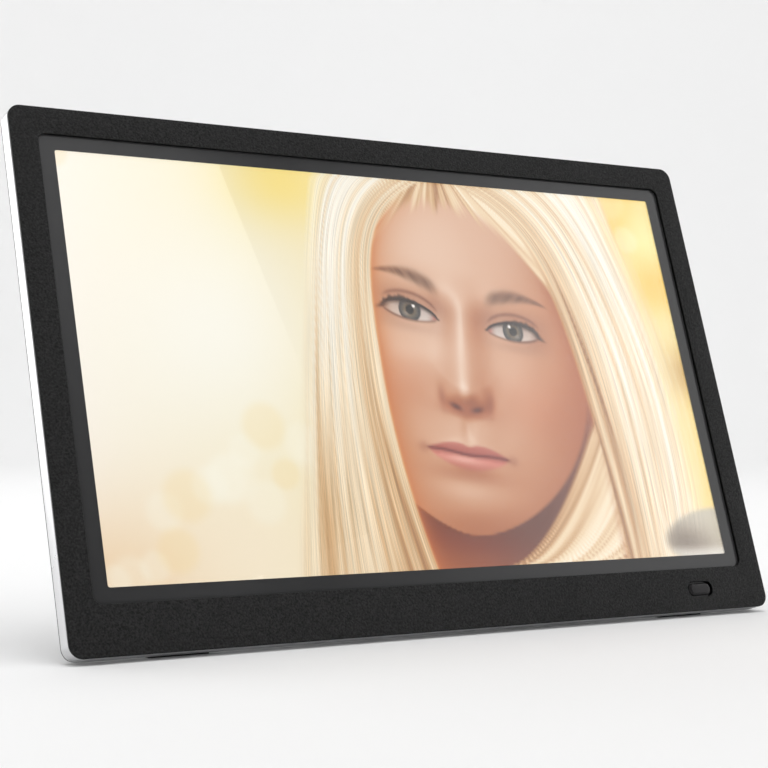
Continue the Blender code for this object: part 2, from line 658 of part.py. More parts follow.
def stand():
    """The bracket, pin and washers on the housing, and the leg that folds out about the pin."""
    at = (0, HINGE_Y, HINGE_Z)
    base_y0 = RECESS_FLOOR + GAP - HINGE_Y
    half = BRACKET_HALF
    base, web = half - 0.6, half - 0.3
    bracket = boxes("stand_bracket", [((-base, base), (base_y0, base_y0 + 1.5), (-16, 16))], "steel", at)
    join(
        bracket,
        boxes("bracket_web", [((-web, web), (base_y0 + 0.5, 0), (-3.9, 3.9))], at=at),
        turned("bracket_barrel", ((KNUCKLE_R, -half), (KNUCKLE_R, half)), axis="x", at=at),
    )
    cut(
        bracket,
        turned("bracket_bore", ((BORE_R, -half - 1), (BORE_R, half + 1)), axis="x", at=at),
        posts("bracket_holes", [(0, z) for z in BRACKET_SCREWS], SCREW_HOLE_R, 16, 21),
    )
    for i, z in enumerate(BRACKET_SCREWS):
        screw(f"bracket_screw_{i + 1}", 0, z, RECESS_FLOOR + 2 * GAP + 1.5, 13.6)
    pin = ((PIN_R - 0.3, -31), (PIN_R, -30.7), (PIN_R, 30.4), (3.2, 30.4), (3.2, 31.3), (2.7, 31.6))
    turned("stand_pin", pin, "steel", axis="x", at=at)
    for side, name in ((-1, "hinge_washer_left"), (1, "hinge_washer_right")):
        x0, x1 = side * (half + GAP), side * (KNUCKLE_IN - GAP)
        section = ((BORE_R, x0), (KNUCKLE_R, x0), (KNUCKLE_R, x1), (BORE_R, x1))
        turned(name, section, "steel", "x", ring=True, at=at)
    leg(at)


def leg(at):
    """The leg hangs down from its pin in its own frame, and is turned open about that pin."""
    turn = empty("stand_axis", PANEL)
    turn.location = Vector(at) * MM
    turn.rotation_euler.x = math.radians(OPEN)
    height = hinge_height()
    angle = LEAN - OPEN
    foot_z = floor_line(0, angle, height)
    plate_end = foot_z + 5.0
    thin = LEG_T / 2
    outline = [
        (-30, -7), (-30, -20), (-38, plate_end + 6), (-35, plate_end),
        (35, plate_end), (38, plate_end + 6), (30, -20), (30, -7),
    ]
    plate = drawn("stand_leg", outline, -thin, thin, "cover_plastic", parent=turn)
    bevel(plate, 0.8)
    for side in (-1, 1):
        x0, x1 = sorted((side * KNUCKLE_IN, side * (KNUCKLE_OUT - 0.1)))
        barrel = turned(f"leg_barrel_{side}", ((KNUCKLE_R, x0), (KNUCKLE_R, x1)), axis="x", parent=turn)
        heel = boxes(f"leg_heel_{side}", [((x0, x1), (-thin, thin - 0.1), (-9, HEEL))], parent=turn)
        join(plate, barrel, heel)
    gap = drawn("leg_gap", corners(2 * KNUCKLE_IN, 30, 1.5, z=-4), -8, 8, parent=turn)
    window = drawn("leg_window", corners(30, 62, 14.5, z=-82), -8, 8, parent=turn)
    bores = turned("leg_bore", ((BORE_R, -45), (BORE_R, 45)), axis="x", parent=turn)
    cut(plate, gap, window, bores)
    pegs = (-24, 24)
    for i, x in enumerate(pegs):
        socket = [(1.6, plate_end - 1), (1.6, plate_end + 5)]
        cut(plate, turned(f"pad_socket_{i}", socket, axis="z", at=(x, 0, 0), parent=turn))
    wide = thin + 0.8
    pad_outline = [
        (-wide, plate_end - GAP), (wide, plate_end - GAP),
        (wide, floor_line(wide, angle, height)), (-wide, floor_line(-wide, angle, height)),
    ]
    pad = drawn("stand_foot_pad", pad_outline, -35, 35, "rubber", "x", turn)
    for i, x in enumerate(pegs):
        peg = [(1.3, plate_end - 1.5), (1.3, plate_end + 4)]
        join(pad, turned(f"pad_peg_{i}", peg, axis="z", at=(x, 0, 0), parent=turn))


def cover_screws():
    for i, (x, z) in enumerate(COVER_SCREWS):
        screw(f"cover_screw_{i + 1}", x, z, 12.5 + GAP, 5.0)


def shade_smooth():
    """Round pieces are shaded smooth, with their edges kept sharp."""
    for obj in PARTS.objects:
        if obj.type == "MESH" and len(obj.data.polygons) > 30:
            obj.data.shade_smooth()
            obj.data.set_sharp_from_angle(angle=math.radians(35))


def stand_on_table(root):
    """Leans the panel back on its feet, then centres the footprint of the whole object on the origin."""
    lean = math.radians(LEAN)
    PANEL.rotation_euler.x = -lean
    PANEL.location.z = FRONT_EDGE_HEIGHT * MM
    bpy.context.view_layer.update()
    graph = bpy.context.evaluated_depsgraph_get()
    depths = []
    for obj in PARTS.objects:
        if obj.type == "MESH":
            solid = obj.evaluated_get(graph)
            depths += [(solid.matrix_world @ vertex.co).y for vertex in solid.data.vertices]
    root.location.y = -(min(depths) + max(depths)) / 2


clear_scene()
PARTS = bpy.data.collections.new("digital_photo_frame")
HELPERS = bpy.data.collections.new("cutters")
for collection in (PARTS, HELPERS):
    bpy.context.scene.collection.children.link(collection)
HELPERS.hide_render = True
ROOT = empty("photo_frame")
PANEL = empty("panel", ROOT)
front_bezel()
side_band()
rear_cover()
buttons()
screen_module()
driver_board()
main_board()
sockets()
key_board()
speakers()
receiver()
cables()
feet()
stand()
cover_screws()
shade_smooth()
stand_on_table(ROOT)
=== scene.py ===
"""The digital photo frame's looks: fine casing pieces, materials, a generated portrait and studio light.

Casing pieces are drawn in the panel's own frame, in millimetres: x to the right, y from the bezel's front
face to the back, z up from the casing's lower edge. PANEL turns that frame into the world.
"""

import json
import math

import bmesh
import bpy
import numpy as np
from mathutils import Matrix, Vector


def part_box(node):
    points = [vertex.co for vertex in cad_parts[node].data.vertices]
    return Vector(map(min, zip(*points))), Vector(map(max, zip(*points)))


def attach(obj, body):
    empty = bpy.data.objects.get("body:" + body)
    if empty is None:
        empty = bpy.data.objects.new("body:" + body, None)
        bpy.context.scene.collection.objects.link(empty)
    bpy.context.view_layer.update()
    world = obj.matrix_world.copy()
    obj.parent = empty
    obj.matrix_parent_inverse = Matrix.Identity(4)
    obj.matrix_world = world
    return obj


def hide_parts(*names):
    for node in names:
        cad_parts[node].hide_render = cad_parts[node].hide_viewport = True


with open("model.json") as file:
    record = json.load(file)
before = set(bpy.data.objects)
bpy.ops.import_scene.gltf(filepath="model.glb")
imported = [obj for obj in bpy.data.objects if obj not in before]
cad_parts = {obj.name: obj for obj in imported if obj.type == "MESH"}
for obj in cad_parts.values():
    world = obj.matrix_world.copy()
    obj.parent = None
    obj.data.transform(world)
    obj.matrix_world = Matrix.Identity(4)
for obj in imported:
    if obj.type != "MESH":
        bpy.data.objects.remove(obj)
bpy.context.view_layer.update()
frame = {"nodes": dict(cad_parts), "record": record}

MM = 0.001
LEAN = math.radians(17)
CASE_W, CASE_H, CASE_R = 385.0, 241.5, 6.0
SCREEN_W, SCREEN_H, SCREEN_Z, LIT_R = 344.2, 193.6, 125.0, 1.1
OPENING_W, OPENING_H, OPENING_R = 359.4, 207.4, 4.0
GLASS_W, GLASS_H, GLASS_Y0, GLASS_Y1 = 365.0, 212.0, 1.5, 2.6
FACE_T = 1.2
WINDOW_X, WINDOW_Z = 148.6, 10.8
COVER_BACK, HUMP_BACK = 14.0, 27.0
HUMP_W, HUMP_Z0, HUMP_Z1 = 244.0, 22.0, 202.0
SPEAKER_X, SPEAKER_Z = 82.0, 44.0
BUTTON_Z, BUTTON_PITCH, BUTTONS = 184.0, 11.0, 7
FOOT_X = 140.0
FRONT_EDGE_HEIGHT, HINGE_Y, HINGE_Z = 3.02, 22.5, 150.0
OPEN = math.radians(32)
COVER_SCREWS = ((-186, 40), (186, 40), (-186, 205), (186, 205), (0, 9.5), (0, 234))
BOARD_SCREWS = ((54, 66), (88, 66), (66, 146), (88, 146))
BRACKET_SCREWS = ((0, 139), (0, 161))
KEY_PEGS = ((-42, 184), (42, 184))
# Depth span, height span and corner radius of each socket's opening, with 0.4 round the socket.
SOCKET_MOUTHS = (
    ((16.6, 24.0), (62.6, 72.0), 3.4),
    ((16.6, 23.2), (75.6, 89.6), 0.8),
    ((16.6, 20.4), (92.6, 101.4), 1.2),
    ((16.6, 20.6), (104.6, 131.4), 0.8),
    ((16.6, 23.2), (134.6, 141.4), 3.2),
)

glass_low, glass_high = (Vector(corner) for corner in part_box("cover_glass"))
PANEL = (
    Matrix.Translation((glass_low + glass_high) / 2)
    @ Matrix.Rotation(-LEAN, 4, "X")
    @ Matrix.Translation(Vector((0, -(GLASS_Y0 + GLASS_Y1) / 2, -SCREEN_Z)) * MM)
)


# ---------------------------------------------------------------- materials

class Nodes:
    """A node tree, with short ways to add nodes and join them."""

    def __init__(self, tree):
        self.tree = tree

    def add(self, kind, inputs=None, **settings):
        node = self.tree.nodes.new(kind)
        for name, value in settings.items():
            setattr(node, name, value)
        for name, value in (inputs or {}).items():
            self.feed(value, node.inputs[name])
        return node

    def feed(self, value, socket):
        if isinstance(value, bpy.types.NodeSocket):
            self.tree.links.new(value, socket)
        else:
            socket.default_value = value


class Look(Nodes):
    """A node material being built."""

    def __init__(self, name, colour, roughness, metallic=0.0, **sockets):
        self.material = bpy.data.materials.new(name)
        self.material.use_nodes = True
        super().__init__(self.material.node_tree)
        self.shader = self.tree.nodes["Principled BSDF"]
        self.wire(Base_Color=(*colour, 1), Roughness=roughness, Metallic=metallic, **sockets)
        self.place = self.add("ShaderNodeTexCoord").outputs["Object"]

    def noise(self, size_mm, detail=3.0, stretch=(1, 1, 1), vector=None):
        """Noise with grains of about the given size, as a 0 to 1 value."""
        scaled = self.add("ShaderNodeMapping", {"Vector": vector or self.place, "Scale": stretch})
        settings = {"Vector": scaled.outputs[0], "Scale": 1000 / size_mm, "Detail": detail}
        return self.add("ShaderNodeTexNoise", settings).outputs["Fac"]

    def spread(self, value, low, high, start=0.3, end=0.7):
        """Maps a value from start..end to low..high."""
        inputs = {"Value": value, "From Min": start, "From Max": end, "To Min": low, "To Max": high}
        return self.add("ShaderNodeMapRange", inputs).outputs[0]

    def tint(self, value, dark, light):
        """A colour between two, by a 0 to 1 value."""
        node = self.add("ShaderNodeMix", data_type="RGBA")
        self.feed(value, node.inputs[0])
        self.feed((*dark, 1), node.inputs[6])
        self.feed((*light, 1), node.inputs[7])
        return node.outputs[2]

    def scaled(self, colour, factor):
        """A colour made lighter or darker by a factor."""
        return self.add("ShaderNodeVectorMath", {0: colour, "Scale": factor}, operation="SCALE").outputs[0]

    def bump(self, height, strength, depth_mm):
        inputs = {"Height": height, "Strength": strength, "Distance": depth_mm * MM}
        return self.add("ShaderNodeBump", inputs).outputs[0]

    def wire(self, **values):
        """Feeds the shader's inputs, each named with _ for a space."""
        for name, value in values.items():
            self.feed(value, self.shader.inputs[name.replace("_", " ")])
        return self.material


def surface(name, tint, dark, light, wear, low, high, relief=None, metallic=0.0, specular=0.5):
    """A material whose colour goes from dark to light, and its roughness from low to high, by noises.

    A noise is (size_mm, detail, stretch), and relief is (noise, strength, depth_mm).
    """
    look = Look(name, light, high, metallic, Specular_IOR_Level=specular)
    look.wire(
        Base_Color=look.tint(look.spread(look.noise(*tint), 0, 1), dark, light),
        Roughness=look.spread(look.noise(*wear), low, high),
    )
    if relief:
        noise, strength, depth_mm = relief
        look.wire(Normal=look.bump(look.noise(*noise), strength, depth_mm))
    return look.material


def dimmed(colour, factor):
    return tuple(channel * factor for channel in colour)


def grained_plastic(name, colour, roughness, grain_mm=0.55, depth=0.05, specular=0.5):
    """Moulded plastic with a fine spark-eroded grain, a little duller where it is handled."""
    grain, handled = (grain_mm, 2.0), (45, 2.0)
    dark, light = dimmed(colour, 0.3), dimmed(colour, 2.3)
    low, high = roughness - 0.05, roughness + 0.06
    relief = (grain, 0.8, depth)
    return surface(name, grain, dark, light, handled, low, high, relief, specular=specular)


def smooth_ink(name, colour, roughness, specular=0.5):
    """Satin ink, or smooth plastic, with a faint haze."""
    dark, light = dimmed(colour, 0.92), dimmed(colour, 1.08)
    return surface(
        name, (60, 2.0), dark, light, (3,), roughness - 0.02, roughness + 0.03, specular=specular,
    )


def silver_paint(name):
    """Satin silver paint with a fine metallic flake and faint handling marks."""
    flake, marks = (0.25, 1.0), (18, 4.0, (0.25, 1, 1))
    dark, light = (0.60, 0.60, 0.61), (0.74, 0.74, 0.75)
    return surface(name, flake, dark, light, marks, 0.26, 0.38, (flake, 0.12, 0.02), metallic=0.75)


def plated_steel(name):
    """Zinc-plated sheet steel: faint rolled streaks and cloudy spots of duller plating."""
    clouds, streaks = (9, 2.0), (2.2, 3.0, (0.06, 1, 1))
    dark, light = (0.48, 0.48, 0.50), (0.64, 0.64, 0.65)
    return surface(name, clouds, dark, light, streaks, 0.26, 0.44, (streaks, 0.15, 0.02), metallic=1.0)


def brushed_aluminium(name):
    lines = (1.2, 4.0, (0.03, 1, 1))
    dark, light = (0.62, 0.62, 0.64), (0.78, 0.78, 0.8)
    return surface(name, lines, dark, light, lines, 0.3, 0.5, (lines, 0.2, 0.03), metallic=1.0)


def soft_rubber(name):
    grain = (0.35, 3.0)
    dark, light = (0.022, 0.022, 0.022), (0.042, 0.042, 0.04)
    return surface(name, (5,), dark, light, grain, 0.75, 0.95, (grain, 0.5, 0.04))


def white_film(name):
    """Thin polyester film with a faint cockle."""
    light = (0.85, 0.86, 0.88)
    cockle = ((18, 1.0), 0.2, 0.3)
    return surface(name, (14,), dimmed(light, 0.94), light, (2.5,), 0.28, 0.42, cockle)


def paper_cone(name):
    fibre = (0.6, 4.0, (1, 0.3, 1))
    dark, light = (0.04, 0.04, 0.04), (0.085, 0.083, 0.08)
    return surface(name, fibre, dark, light, fibre, 0.75, 0.95, (fibre, 0.6, 0.06))


def circuit_board(name):
    """Green solder mask over copper tracks that run square to each other."""
    look = Look(name, (0.02, 0.12, 0.05), 0.4)
    drawn_out = look.add("ShaderNodeMapping", {"Vector": look.place, "Scale": (1000, 300, 1000)})
    cells = {"Vector": drawn_out.outputs[0], "Scale": 0.45}
    tracks = look.add("ShaderNodeTexVoronoi", cells, distance="MANHATTAN")
    copper = look.spread(tracks.outputs["Distance"], 1, 0, 0.28, 0.34)
    return look.wire(
        Base_Color=look.tint(copper, (0.012, 0.085, 0.035), (0.03, 0.17, 0.07)),
        Roughness=look.spread(look.noise(6), 0.32, 0.46),
        Normal=look.bump(copper, 0.4, 0.04),
    )


def flat_cable(name):
    """White ribbon cable with its conductors showing as fine lines along it."""
    look = Look(name, (0.75, 0.75, 0.72), 0.45)
    bands = {"Vector": look.place, "Scale": 300, "Distortion": 0.0}
    lines = look.add("ShaderNodeTexWave", bands, bands_direction="X").outputs["Fac"]
    return look.wire(
        Base_Color=look.tint(lines, (0.62, 0.62, 0.58), (0.8, 0.8, 0.77)),
        Roughness=look.spread(look.noise(4), 0.38, 0.52),
        Normal=look.bump(lines, 0.3, 0.08),
    )


def clear_acrylic(name):
    """The light guide, with its printed field of fine dots."""
    look = Look(name, (0.9, 0.95, 0.95), 0.15, IOR=1.49, Transmission_Weight=0.8)
    dots = look.add("ShaderNodeTexVoronoi", {"Vector": look.place, "Scale": 600})
    printed = look.spread(dots.outputs["Distance"], 0.6, 0.1, 0.25, 0.4)
    return look.wire(Roughness=printed, Normal=look.bump(printed, 0.2, 0.02))


def clear_glass(name):
    look = Look(name, (1, 1, 1), 0.0, IOR=1.5, Transmission_Weight=1.0)
    return look.wire(Roughness=look.spread(look.noise(30, 2.0), 0.0, 0.012))


# ---------------------------------------------------------------- mesh tools

def linked(name, data):
    """A new object in the scene."""
    piece = bpy.data.objects.new(name, data)
    bpy.context.scene.collection.objects.link(piece)
    return piece


def finish_mesh(data, look, body, nodes=(), sharp=30, matrix=PANEL):
    """Makes a piece of a mesh in millimetres: it rides on a body and may stand for CAD nodes."""
    data.transform(matrix @ Matrix.Scale(MM, 4))
    data.shade_smooth()
    data.set_sharp_from_angle(angle=math.radians(sharp))
    data.materials.append(look)
    piece = linked(data.name, data)
    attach(piece, body)
    if nodes:
        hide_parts(*nodes)
    return piece


def mesh_of(name, bm):
    bmesh.ops.recalc_face_normals(bm, faces=bm.faces)
    data = bpy.data.meshes.new(name)
    bm.to_mesh(data)
    bm.free()
    return data


def shaped(name, bm, cutters=(), joined=()):
    """A mesh in millimetres after solids are joined to it and others are cut from it."""
    solid = linked(name, mesh_of(name, bm))
    others = []
    for operation, shapes in (("UNION", joined), ("DIFFERENCE", cutters)):
        for shape in shapes:
            data = shape if isinstance(shape, bpy.types.Mesh) else mesh_of("helper", shape)
            other = linked("helper", data)
            others.append(other)
            step = solid.modifiers.new("step", "BOOLEAN")
            step.operation = operation
            step.object = other
    graph = bpy.context.evaluated_depsgraph_get()
    data = bpy.data.meshes.new_from_object(solid.evaluated_get(graph))
    data.name = name
    for obj in (solid, *others):
        bpy.data.objects.remove(obj)
    return data


def corners(width, height, radius, steps=10, x=0.0, z=0.0):
    """The points of a rounded rectangle in the panel's plane."""
    points = []
    for quarter, (sx, sz) in enumerate(((1, 1), (-1, 1), (-1, -1), (1, -1))):
        cx = x + sx * (width / 2 - radius)
        cz = z + sz * (height / 2 - radius)
        for step in range(steps + 1):
            angle = math.radians(90 * quarter + 90 * step / steps)
            points.append((cx + radius * math.cos(angle), cz + radius * math.sin(angle)))
    return points


def rounded(width, height, radius, y, steps=10, x=0.0, z=0.0):
    """A rounded rectangle across the panel at depth y."""
    return [(px, y, pz) for px, pz in corners(width, height, radius, steps, x, z)]


def strips(bm, rows):
    """Faces between each row of vertices and the next, closed round."""
    for first, second in zip(rows, rows[1:]):
        for i in range(len(first)):
            j = (i + 1) % len(first)
            bm.faces.new((first[i], first[j], second[j], second[i]))


def lofted(sections, ring=False):
    """A closed surface through sections of equal length: a ring, or a solid with both ends capped."""
    bm = bmesh.new()
    rows = [[bm.verts.new(point) for point in section] for section in sections]
    if ring:
        strips(bm, [*rows, rows[0]])
    else:
        bm.faces.new(rows[0])
        bm.faces.new(rows[-1])
        strips(bm, rows)
    return bm


def box(x_span, y_span, z_span):
    bm = bmesh.new()
    spans = (x_span, y_span, z_span)
    size = Matrix.Diagonal([high - low for low, high in spans]).to_4x4()
    middle = [(high + low) / 2 for low, high in spans]
    bmesh.ops.create_cube(bm, size=1, matrix=Matrix.Translation(middle) @ size)
    return bm


def circle(segments):
    """The cosine and sine of evenly spaced angles all the way round."""
    angles = [2 * math.pi * i / segments for i in range(segments)]
    return [(math.cos(a), math.sin(a)) for a in angles]


def posts(places, rings):
    """Round posts or holes along y at (x, z) places, through rings of (radius, y)."""
    bm = bmesh.new()
    turn = circle(28)
    for x, z in places:
        rows = [[bm.verts.new((x + r * c, y, z + r * s)) for c, s in turn] for r, y in rings]
        bm.faces.new(rows[0])
        bm.faces.new(rows[-1])
        strips(bm, rows)
    return bm


def turned(profile):
    """A round solid along x, through rings of (radius, x)."""
    return lofted([[(x, radius * c, radius * s) for c, s in circle(40)] for radius, x in profile])


def upright(radius, x, z_span):
    """A round post or hole along z."""
    return lofted([[(x + radius * c, radius * s, z) for c, s in circle(40)] for z in z_span])


def fillet(radius, steps):
    """(inward, along) offsets of a quarter-round edge, from its side to its top."""
    for step in range(steps + 1):
        angle = math.radians(90 * step / steps)
        yield radius * (1 - math.cos(angle)), radius * (1 - math.sin(angle))


def curve(start, pull, end, steps):
    """Points of a smooth arc from start to end, drawn towards a third point."""
    for step in range(steps + 1):
        t = step / steps
        yield tuple((1 - t) ** 2 * a + 2 * t * (1 - t) * b + t * t * c for a, b, c in zip(start, pull, end))


def casing(distance, y):
    """The casing's outline moved inwards, at depth y."""
    radius = max(CASE_R - distance, 1.0)
    return rounded(CASE_W - 2 * distance, CASE_H - 2 * distance, radius, y, 14, z=CASE_H / 2)


def opening(grow, y):
    """The outline of the bezel's opening moved outwards, at depth y."""
    return rounded(OPENING_W + 2 * grow, OPENING_H + 2 * grow, OPENING_R + grow, y, 14, z=SCREEN_Z)


def pill_hole(width, height, radius, x, z, flare=0.25):
    """A hole with rounded ends through the hump's back, its mouth softened by a small flare."""
    layers = ((0, 24), (0, HUMP_BACK - flare), (2 * flare, HUMP_BACK + flare))
    return lofted([
        rounded(width + 2 * grow, height + 2 * grow, radius + grow, y, 8, x, z) for grow, y in layers
    ])


# ---------------------------------------------------------------- the front of the casing

def front_bezel(look, edge_look_painted_shade):
    """The textured face with smooth edges painted darker as shade, the rib that locates it in the band and
    six screw posts.
    """
    rim, lip = 0.45, 0.3
    rib_inside, rib_outside, rib_back = 3.4, 1.9, 4.5
    hole_w, hole_h, hole_r = 16.2, 7.8, 3.7
    post_r, pilot_r, post_back = 2.5, 1.2, 10.5
    sections = [casing(0, FACE_T)]
    sections += [casing(inward, along) for inward, along in fillet(rim, 5)]
    sections += [opening(inward, along) for inward, along in reversed(list(fillet(lip, 4)))]
    sections.append(opening(0, FACE_T))
    sections += [casing(rib_inside, y) for y in (FACE_T, rib_back)]
    sections += [casing(rib_outside, y) for y in (rib_back, FACE_T)]
    depths = (-1, FACE_T + 1)
    hole = lofted([rounded(hole_w, hole_h, hole_r, y, 12, WINDOW_X, WINDOW_Z) for y in depths])
    data = shaped(
        "bezel_face", lofted(sections, ring=True),
        cutters=[posts(COVER_SCREWS, ((pilot_r, 3.5), (pilot_r, post_back + 0.5))), hole],
        joined=[posts(COVER_SCREWS, ((post_r, FACE_T - 0.5), (post_r, post_back)))],
    )
    # Faces that turn away from the front take the second material: smooth, and darker as painted shade on
    # the side walls and in the opening and the window hole.
    flat = 0.85
    for face in data.polygons:
        face.material_index = int(abs(face.normal.y) < flat)
    piece = finish_mesh(data, look, "casing", ["front_bezel"])
    piece.data.materials.append(edge_look_painted_shade)
    return piece


def side_band(look):
    """The silver band with softly rounded front and back edges."""
    edge, thick = 0.45, 1.4
    front, back = 1.5, 8.7
    rounding = list(fillet(edge, 4))
    sections = [casing(thick, front)]
    sections += [casing(inward, front + along) for inward, along in reversed(rounding)]
    sections += [casing(inward, back - along) for inward, along in rounding]
    sections += [casing(thick, back)]
    return finish_mesh(mesh_of("band_shell", lofted(sections, ring=True)), look, "casing", ["side_band"])


def glass_pane(look):
    """The clear pane, its long edges ground to a small bevel."""
    bevel = 0.15
    sections = [
        rounded(GLASS_W - 2 * cut, GLASS_H - 2 * cut, 3 - cut, y, 8, z=SCREEN_Z)
        for cut, y in ((bevel, GLASS_Y0), (0, GLASS_Y0 + bevel), (0, GLASS_Y1 - bevel), (bevel, GLASS_Y1))
    ]
    return finish_mesh(mesh_of("glass_pane", lofted(sections)), look, "casing", ["cover_glass"])


def glass_border(look):
    """The satin border printed on the face of the glass, with its opening at the lit area."""
    front, back = GLASS_Y0 - 0.08, GLASS_Y0 - 0.02
    outer, inner = (GLASS_W - 1, GLASS_H - 1, 3), (SCREEN_W, SCREEN_H, LIT_R)
    layers = ((outer, back), (outer, front), (inner, front), (inner, back))
    sections = [rounded(*outline, y, 8, z=SCREEN_Z) for outline, y in layers]
    border = finish_mesh(mesh_of("glass_border", lofted(sections, ring=True)), look, "casing")
    return border


def window_lens(look):
    """The dark pill window, slightly domed, with the flange that holds it behind the bezel."""
    width, height, radius = 14.4, 6.0, 2.9
    flange, flange_front, flange_back = (18.4, 10.0, 4.5), 1.5, 2.3
    dome = curve((2.0, 0.12), (0.1, 0.16), (0, 0.9), 8)
    sizes = [(width - 2 * inward, height - 2 * inward, radius - inward, y) for inward, y in dome]
    sizes += [(width, height, radius, flange_front), (*flange, flange_front), (*flange, flange_back)]
    sections = [rounded(w, h, r, y, 12, WINDOW_X, WINDOW_Z) for w, h, r, y in sizes]
    return finish_mesh(mesh_of("window_lens", lofted(sections)), look, "casing", ["ir_window"])


# ---------------------------------------------------------------- the back of the casing

def hump_section(inset, y, radius):
    """The hump's outline moved inwards, at depth y."""
    width, height = HUMP_W - 2 * inset, HUMP_Z1 - HUMP_Z0 - 2 * inset
    return rounded(width, height, radius, y, 12, z=(HUMP_Z0 + HUMP_Z1) / 2)


def side_mouth(y_span, z_span, radius):
    """A rounded socket opening through the hump's right side, softened at its mouth."""
    y0, y1 = y_span
    z0, z1 = z_span
    middle_y, middle_z = (y0 + y1) / 2, (z0 + z1) / 2

    def section(x, grow):
        outline = corners(y1 - y0 + 2 * grow, z1 - z0 + 2 * grow, radius + grow, 6, middle_y, middle_z)
        return [(x, y, z) for y, z in outline]

    wall, flare = HUMP_W / 2 - 1.3, 0.9
    return lofted([section(wall - 6, 0), section(wall, 0), section(wall + 4, flare)])


def button_x(index):
    """Where a button stands across the back, the first being number 0."""
    return BUTTON_PITCH * (index - (BUTTONS - 1) / 2)


def rear_openings():
    """Cutters for the speakers, air, buttons, sockets, screws and feet."""
    cutters = []
    for side in (-1, 1):
        for row in range(-2, 3):
            cutters.append(pill_hole(24, 1.6, 0.79, side * SPEAKER_X, SPEAKER_Z + 3.2 * row))
        for column in range(8):
            cutters.append(pill_hole(2, 16, 0.99, side * (58 + 6 * column), 168))
        x = side * FOOT_X
        cutters.append(box((x - 14.3, x + 14.3), (9.1, 13.3), (-3, 2.4)))
    for index in range(BUTTONS):
        cutters.append(pill_hole(8.8, 6.3, 2.9, button_x(index), BUTTON_Z, flare=0.3))
    cutters += [side_mouth(*mouth) for mouth in SOCKET_MOUTHS]
    cutters += [
        posts(COVER_SCREWS, ((1.4, 8), (1.4, 16))),
        posts(COVER_SCREWS, ((2.9, 12.5), (2.9, 13.4), (3.6, 14.6), (3.6, 16))),
        posts(BOARD_SCREWS, ((1.2, 14), (1.2, 23.5))),
        posts(BRACKET_SCREWS, ((1.2, 11), (1.2, 20))),
    ]
    return cutters


def rear_cover(look):
    """A shallow tray with a hump for the electronics, hollow, and a flared recess for the leg."""
    outline = list(curve((7.0, COVER_BACK), (2.0, 13.1), (0.4, 9.8), 7))
    outline += [(0.4, 9.0), (1.9, 9.0), (1.9, 6.6), (3.3, 6.6), (3.3, 10.2), (5.0, 11.6), (8.0, 12.4)]
    tray = lofted([casing(inset, y) for inset, y in outline])
    rounding = curve((2, 24.6), (2.3, 26.8), (4.5, HUMP_BACK), 7)
    hump = [hump_section(0, COVER_BACK - 1, 10)]
    hump += [hump_section(inset, y, 9 - inset / 3) for inset, y in rounding]
    cavity = shaped(
        "cavity",
        lofted([hump_section(2.4, 11.8, 8), hump_section(4.0, 25.0, 7)]),
        cutters=[box((-44, 44), (15.7, 30), (0, 172))],
    )
    width, height, middle = 84, 160, 90
    layers = ((0, 2.0, 17.5), (0, 2.0, HUMP_BACK - 1.2), (4, 4.0, HUMP_BACK + 0.8))
    recess = lofted([
        rounded(width + grow, height + grow, radius, y, 8, z=middle) for grow, radius, y in layers
    ])
    shell = shaped("shell", tray, cutters=[cavity, recess], joined=[lofted(hump)])
    stems = [
        posts(BOARD_SCREWS, ((2.6, 17.0), (2.6, 25.5))),
        posts(COVER_SCREWS, ((3.4, 10.8), (3.4, 13.0))),
        posts(BRACKET_SCREWS, ((3.0, 12.9), (3.0, 16.2))),
        posts(KEY_PEGS, ((2.4, 19.0), (2.4, 25.5))),
        posts(KEY_PEGS, ((1.1, 16.5), (1.1, 25.2))),
    ]
    bm = bmesh.new()
    bm.from_mesh(shell)
    data = shaped("rear_shell", bm, cutters=rear_openings(), joined=stems)
    return finish_mesh(data, look, "casing", ["rear_cover"], sharp=28)


def polygon(points, radii, inset):
    """A convex outline, its corners rounded, moved inwards by inset; the points run anticlockwise."""
    count, steps = len(points), 8
    edges = []
    for i in range(count):
        a, b = Vector(points[i]), Vector(points[(i + 1) % count])
        along = (b - a).normalized()
        edges.append((a + Vector((-along.y, along.x)) * inset, along))
    outline = []
    for i in range(count):
        (p, d), (q, e) = edges[i - 1], edges[i]
        corner = p + d * ((q - p).cross(e) / d.cross(e))
        turn = math.acos(max(-1, min(1, d.dot(e))))
        radius = max(radii[i] - inset, 0.2)
        start = corner - d * radius * math.tan(turn / 2)
        centre = start + Vector((-d.y, d.x)) * radius
        for step in range(steps + 1):
            angle = turn * step / steps
            spoke = Matrix.Rotation(angle, 2) @ (start - centre)
            outline.append(centre + spoke)
    return outline


